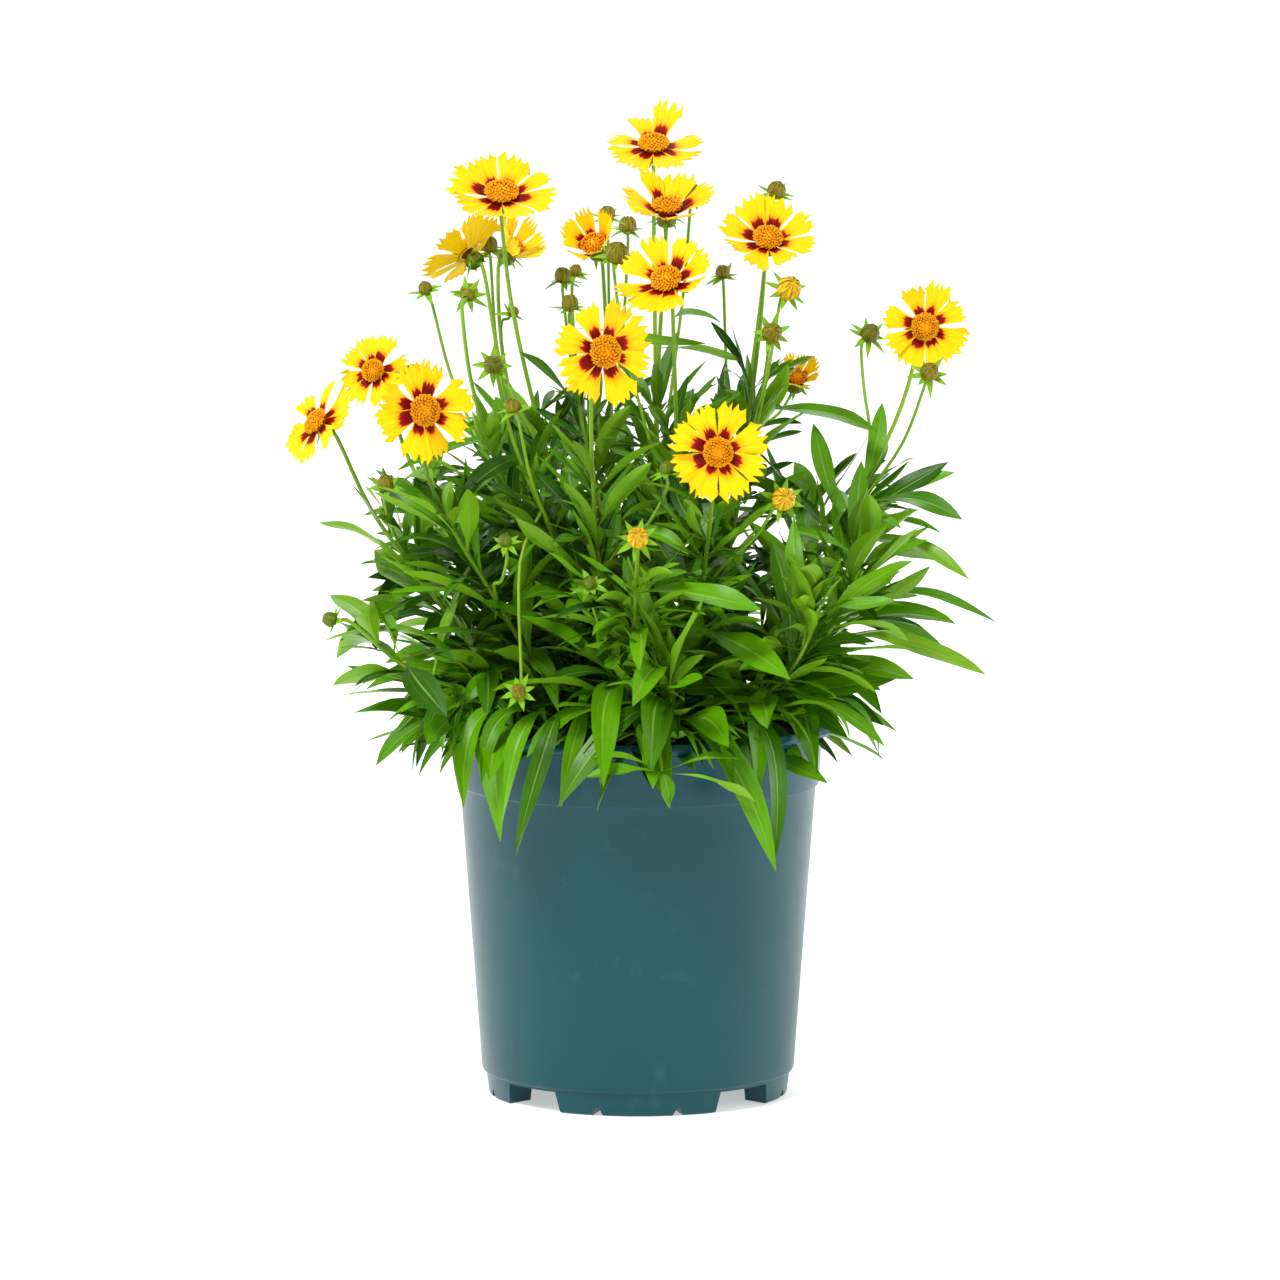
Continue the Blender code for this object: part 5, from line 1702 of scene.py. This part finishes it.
def fine_petal(work, head, turn, reach, cup, rng):
    """One ray: narrow at its base, widening to a tip cut into uneven teeth."""
    axis = facing(head.azimuth, head.elevation)
    side, other = across(axis)
    along = around(side, other, turn)
    sideways = other * math.cos(turn) - side * math.sin(turn)
    centre = centre_of(head)
    hub = head.radius * HUB_SHARE
    start = hub * 0.55
    turn_off = rng.uniform(-0.09, 0.09)
    cup += rng.uniform(-0.07, 0.07) * head.radius
    along, sideways = along + sideways * turn_off, sideways - along * turn_off
    wide = rng.uniform(0.82, 1.10)
    cuts = []
    for j in range(PETAL_COLUMNS):
        notch = abs(j % 4 - 2) / 2
        cuts.append(notch * rng.uniform(0.10, 0.30) + (1 - notch) * rng.uniform(0.0, 0.06))
    for j in (0, 1, -2, -1):
        cuts[j] += rng.uniform(0.02, 0.08)
    fray = [[rng.uniform(-0.035, 0.035) for _ in range(PETAL_ROWS + 1)] for _ in range(2)]
    roll = rng.uniform(-0.42, 0.42)
    bend = rng.uniform(-0.07, 0.06) * head.radius
    arch = rng.uniform(-0.6, 1.5)
    skew = rng.uniform(-0.7, 0.7)
    pleats = rng.uniform(0, 6.28)
    uneven = rng.uniform(0, 6.28)

    def point(i, j):
        share = i / PETAL_ROWS
        off = 2 * j / (PETAL_COLUMNS - 1) - 1
        length = (reach - start) * (1 - (cuts[j] + 0.03 * off * off) * share**4)
        out = start + length * share
        off += 0.11 * math.sin(3 * off + uneven) * (1 - off * off)
        half = reach * wide * profile_at(PETAL_PROFILE, share)
        half *= 1 + fray[0 if off < 0 else 1][i] * abs(off) * share
        lift = cup * max(0, (out - hub) / (reach - hub)) + bend * math.sin(math.pi * share)
        ripple = 0.22 * math.sin(off * 10 + pleats) * share * (1.15 - share) * 2
        lift += ripple - arch * off * off * share * 0.8
        lift += roll * off * half * share
        return centre + along * out + sideways * (off * half + skew * share * share) + axis * lift

    def place(i, j):
        return (j / (PETAL_COLUMNS - 1), i / PETAL_ROWS)

    work.grid(PETAL_ROWS + 1, PETAL_COLUMNS, point, place, 0, rng.random())


def fine_floret(work, base, axis, radius, height, tone, rng):
    """One disc floret: a little tube that flares to five points."""
    side, other = across(axis)
    spin = rng.uniform(0, 6.28)
    rings = ((0.62, 0.0, 0.0), (0.62, 0.55, 0.4), (1.0, 1.0, 1.0), (0.35, 0.86, 0.55))
    points = []
    places = []
    for size, rise, shade_at in rings:
        for k in range(5):
            turn = spin + 2 * math.pi * k / 5
            flat = around(side, other, turn)
            points.append(base + flat * radius * size + axis * height * rise)
            places.append((k / 5, shade_at))
    points.append(base + axis * height * 0.7)
    places.append((0.5, 0.25))
    faces = []
    for ring in range(3):
        for k in range(5):
            a, b = ring * 5 + k, ring * 5 + (k + 1) % 5
            faces.append((a, b, b + 5, a + 5))
    faces += [(15 + k, 15 + (k + 1) % 5, 20) for k in range(5)]
    work.add(points, places, faces, 0, tone)


class COREOPSIS_OT_blooms(bpy.types.Operator):
    """Make every bloom's petals and disc"""

    bl_idname = "coreopsis.blooms"
    bl_label = "Blooms"

    def execute(self, context):
        looks = context.scene.coreopsis_blooms
        grow_plan()
        petal, floret = petal_material(looks), floret_material(looks)
        for number, head in enumerate(h for h in HEADS.values() if h.kind != "bud"):
            rng = random.Random(BLOOM_SEED + number)
            rays = Patchwork()
            for turn, reach, cup in PETALS[head.name]:
                fine_petal(rays, head, turn, reach, cup, rng)
            rays.piece("petals_" + head.name, [petal], "petals", "rays_" + head.name)
            disc = Patchwork()
            axis = facing(head.azimuth, head.elevation)
            size = head.radius * HUB_SHARE
            seat = centre_of(head) + axis * 0.5
            fine_dome(disc, seat, axis, size * 0.92, size * 0.62, 0, 0.2, low=-0.2)
            side, other = across(axis)
            count = round(looks.florets * (0.6 if head.kind == "young" else 1))
            for k in range(count):
                share = math.sqrt((k + 0.5) / count)
                rise = math.pi / 2 * (1 - share)
                turn = k * GOLDEN_TURN
                flat = around(side, other, turn)
                base = seat + flat * size * 0.94 * math.cos(rise) ** 0.9 + axis * size * 0.60 * math.sin(rise)
                lean = (flat * share * 0.75 + axis).normalized()
                ripe = rng.random() * (0.7 + 0.3 * share)
                tall = size * (0.20 + 0.14 * share) * rng.uniform(0.8, 1.2)
                fine_floret(disc, base, lean, size * 0.098 * rng.uniform(0.85, 1.15), tall, ripe, rng)
            disc.piece("florets_" + head.name, [floret], "disc", "disc_" + head.name)
        return {"FINISHED"}


class COREOPSIS_OT_stage(bpy.types.Operator):
    """Set the studio floor, the lights and the camera"""

    bl_idname = "coreopsis.stage"
    bl_label = "Stage"

    def execute(self, context):
        looks = context.scene.coreopsis_stage
        scene = context.scene
        mesh = bpy.data.meshes.new("floor")
        size = FLOOR_HALF
        corners = [(-size, -size, 0), (size, -size, 0), (size, size, 0), (-size, size, 0)]
        mesh.from_pydata(corners, [], [(0, 1, 2, 3)])
        mesh.materials.append(floor_material(looks))
        floor = bpy.data.objects.new("floor", mesh)
        floor.location.z = -FLOOR_DROP
        scene.collection.objects.link(floor)
        for name, place, width, power in LIGHTS:
            light = bpy.data.lights.new(name, "AREA")
            light.size = width
            light.energy = power
            item = bpy.data.objects.new(name, light)
            item.location = place
            aim = LIGHT_AIM - Vector(place)
            item.rotation_euler = aim.to_track_quat("-Z", "Y").to_euler()
            scene.collection.objects.link(item)
        world = bpy.data.worlds.new("studio")
        world.use_nodes = True
        sky = world.node_tree.nodes["Background"].inputs
        sky["Color"].default_value = (1, 1, 1, 1)
        sky["Strength"].default_value = WORLD_STRENGTH
        scene.world = world
        scene.view_settings.view_transform = "Standard"
        camera = bpy.data.cameras.new("camera")
        camera.sensor_width = SENSOR_WIDTH
        camera.lens = SENSOR_WIDTH * looks.distance / looks.view_width
        item = bpy.data.objects.new("camera", camera)
        rise = math.radians(looks.elevation)
        aim = Vector((AIM_X, 0, looks.aim))
        item.location = aim + Vector((0, -math.cos(rise), math.sin(rise))) * looks.distance
        item.rotation_euler = (math.pi / 2 - rise, 0, 0)
        scene.collection.objects.link(item)
        scene.camera = item
        return {"FINISHED"}


class COREOPSIS_PT_panel(bpy.types.Panel):
    bl_idname = "COREOPSIS_PT_panel"
    bl_label = "Potted coreopsis"
    bl_space_type = "VIEW_3D"
    bl_region_type = "UI"
    bl_category = "Coreopsis"

    def draw(self, context):
        for operator in OPERATORS:
            self.layout.operator(operator.bl_idname, text=operator.bl_label)
        for name, group in GROUPS.items():
            box = self.layout.box()
            looks = getattr(context.scene, name)
            for prop in group.__annotations__:
                box.prop(looks, prop)


OPERATORS = (
    COREOPSIS_OT_pot,
    COREOPSIS_OT_soil,
    COREOPSIS_OT_shoots,
    COREOPSIS_OT_blooms,
    COREOPSIS_OT_stage,
)
GROUPS = {
    "coreopsis_pot": PotLooks,
    "coreopsis_plant": PlantLooks,
    "coreopsis_blooms": BloomLooks,
    "coreopsis_stage": StageLooks,
}


def register():
    for item in (*GROUPS.values(), *OPERATORS, COREOPSIS_PT_panel):
        bpy.utils.register_class(item)
    for name, group in GROUPS.items():
        setattr(bpy.types.Scene, name, bpy.props.PointerProperty(type=group))


def unregister():
    for name in GROUPS:
        delattr(bpy.types.Scene, name)
    for item in (COREOPSIS_PT_panel, *OPERATORS, *GROUPS.values()):
        bpy.utils.unregister_class(item)


def main():
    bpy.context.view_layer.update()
    register()
    for operator in OPERATORS:
        getattr(bpy.ops.coreopsis, operator.bl_idname.split(".")[1])()


if __name__ == "__main__":
    main()
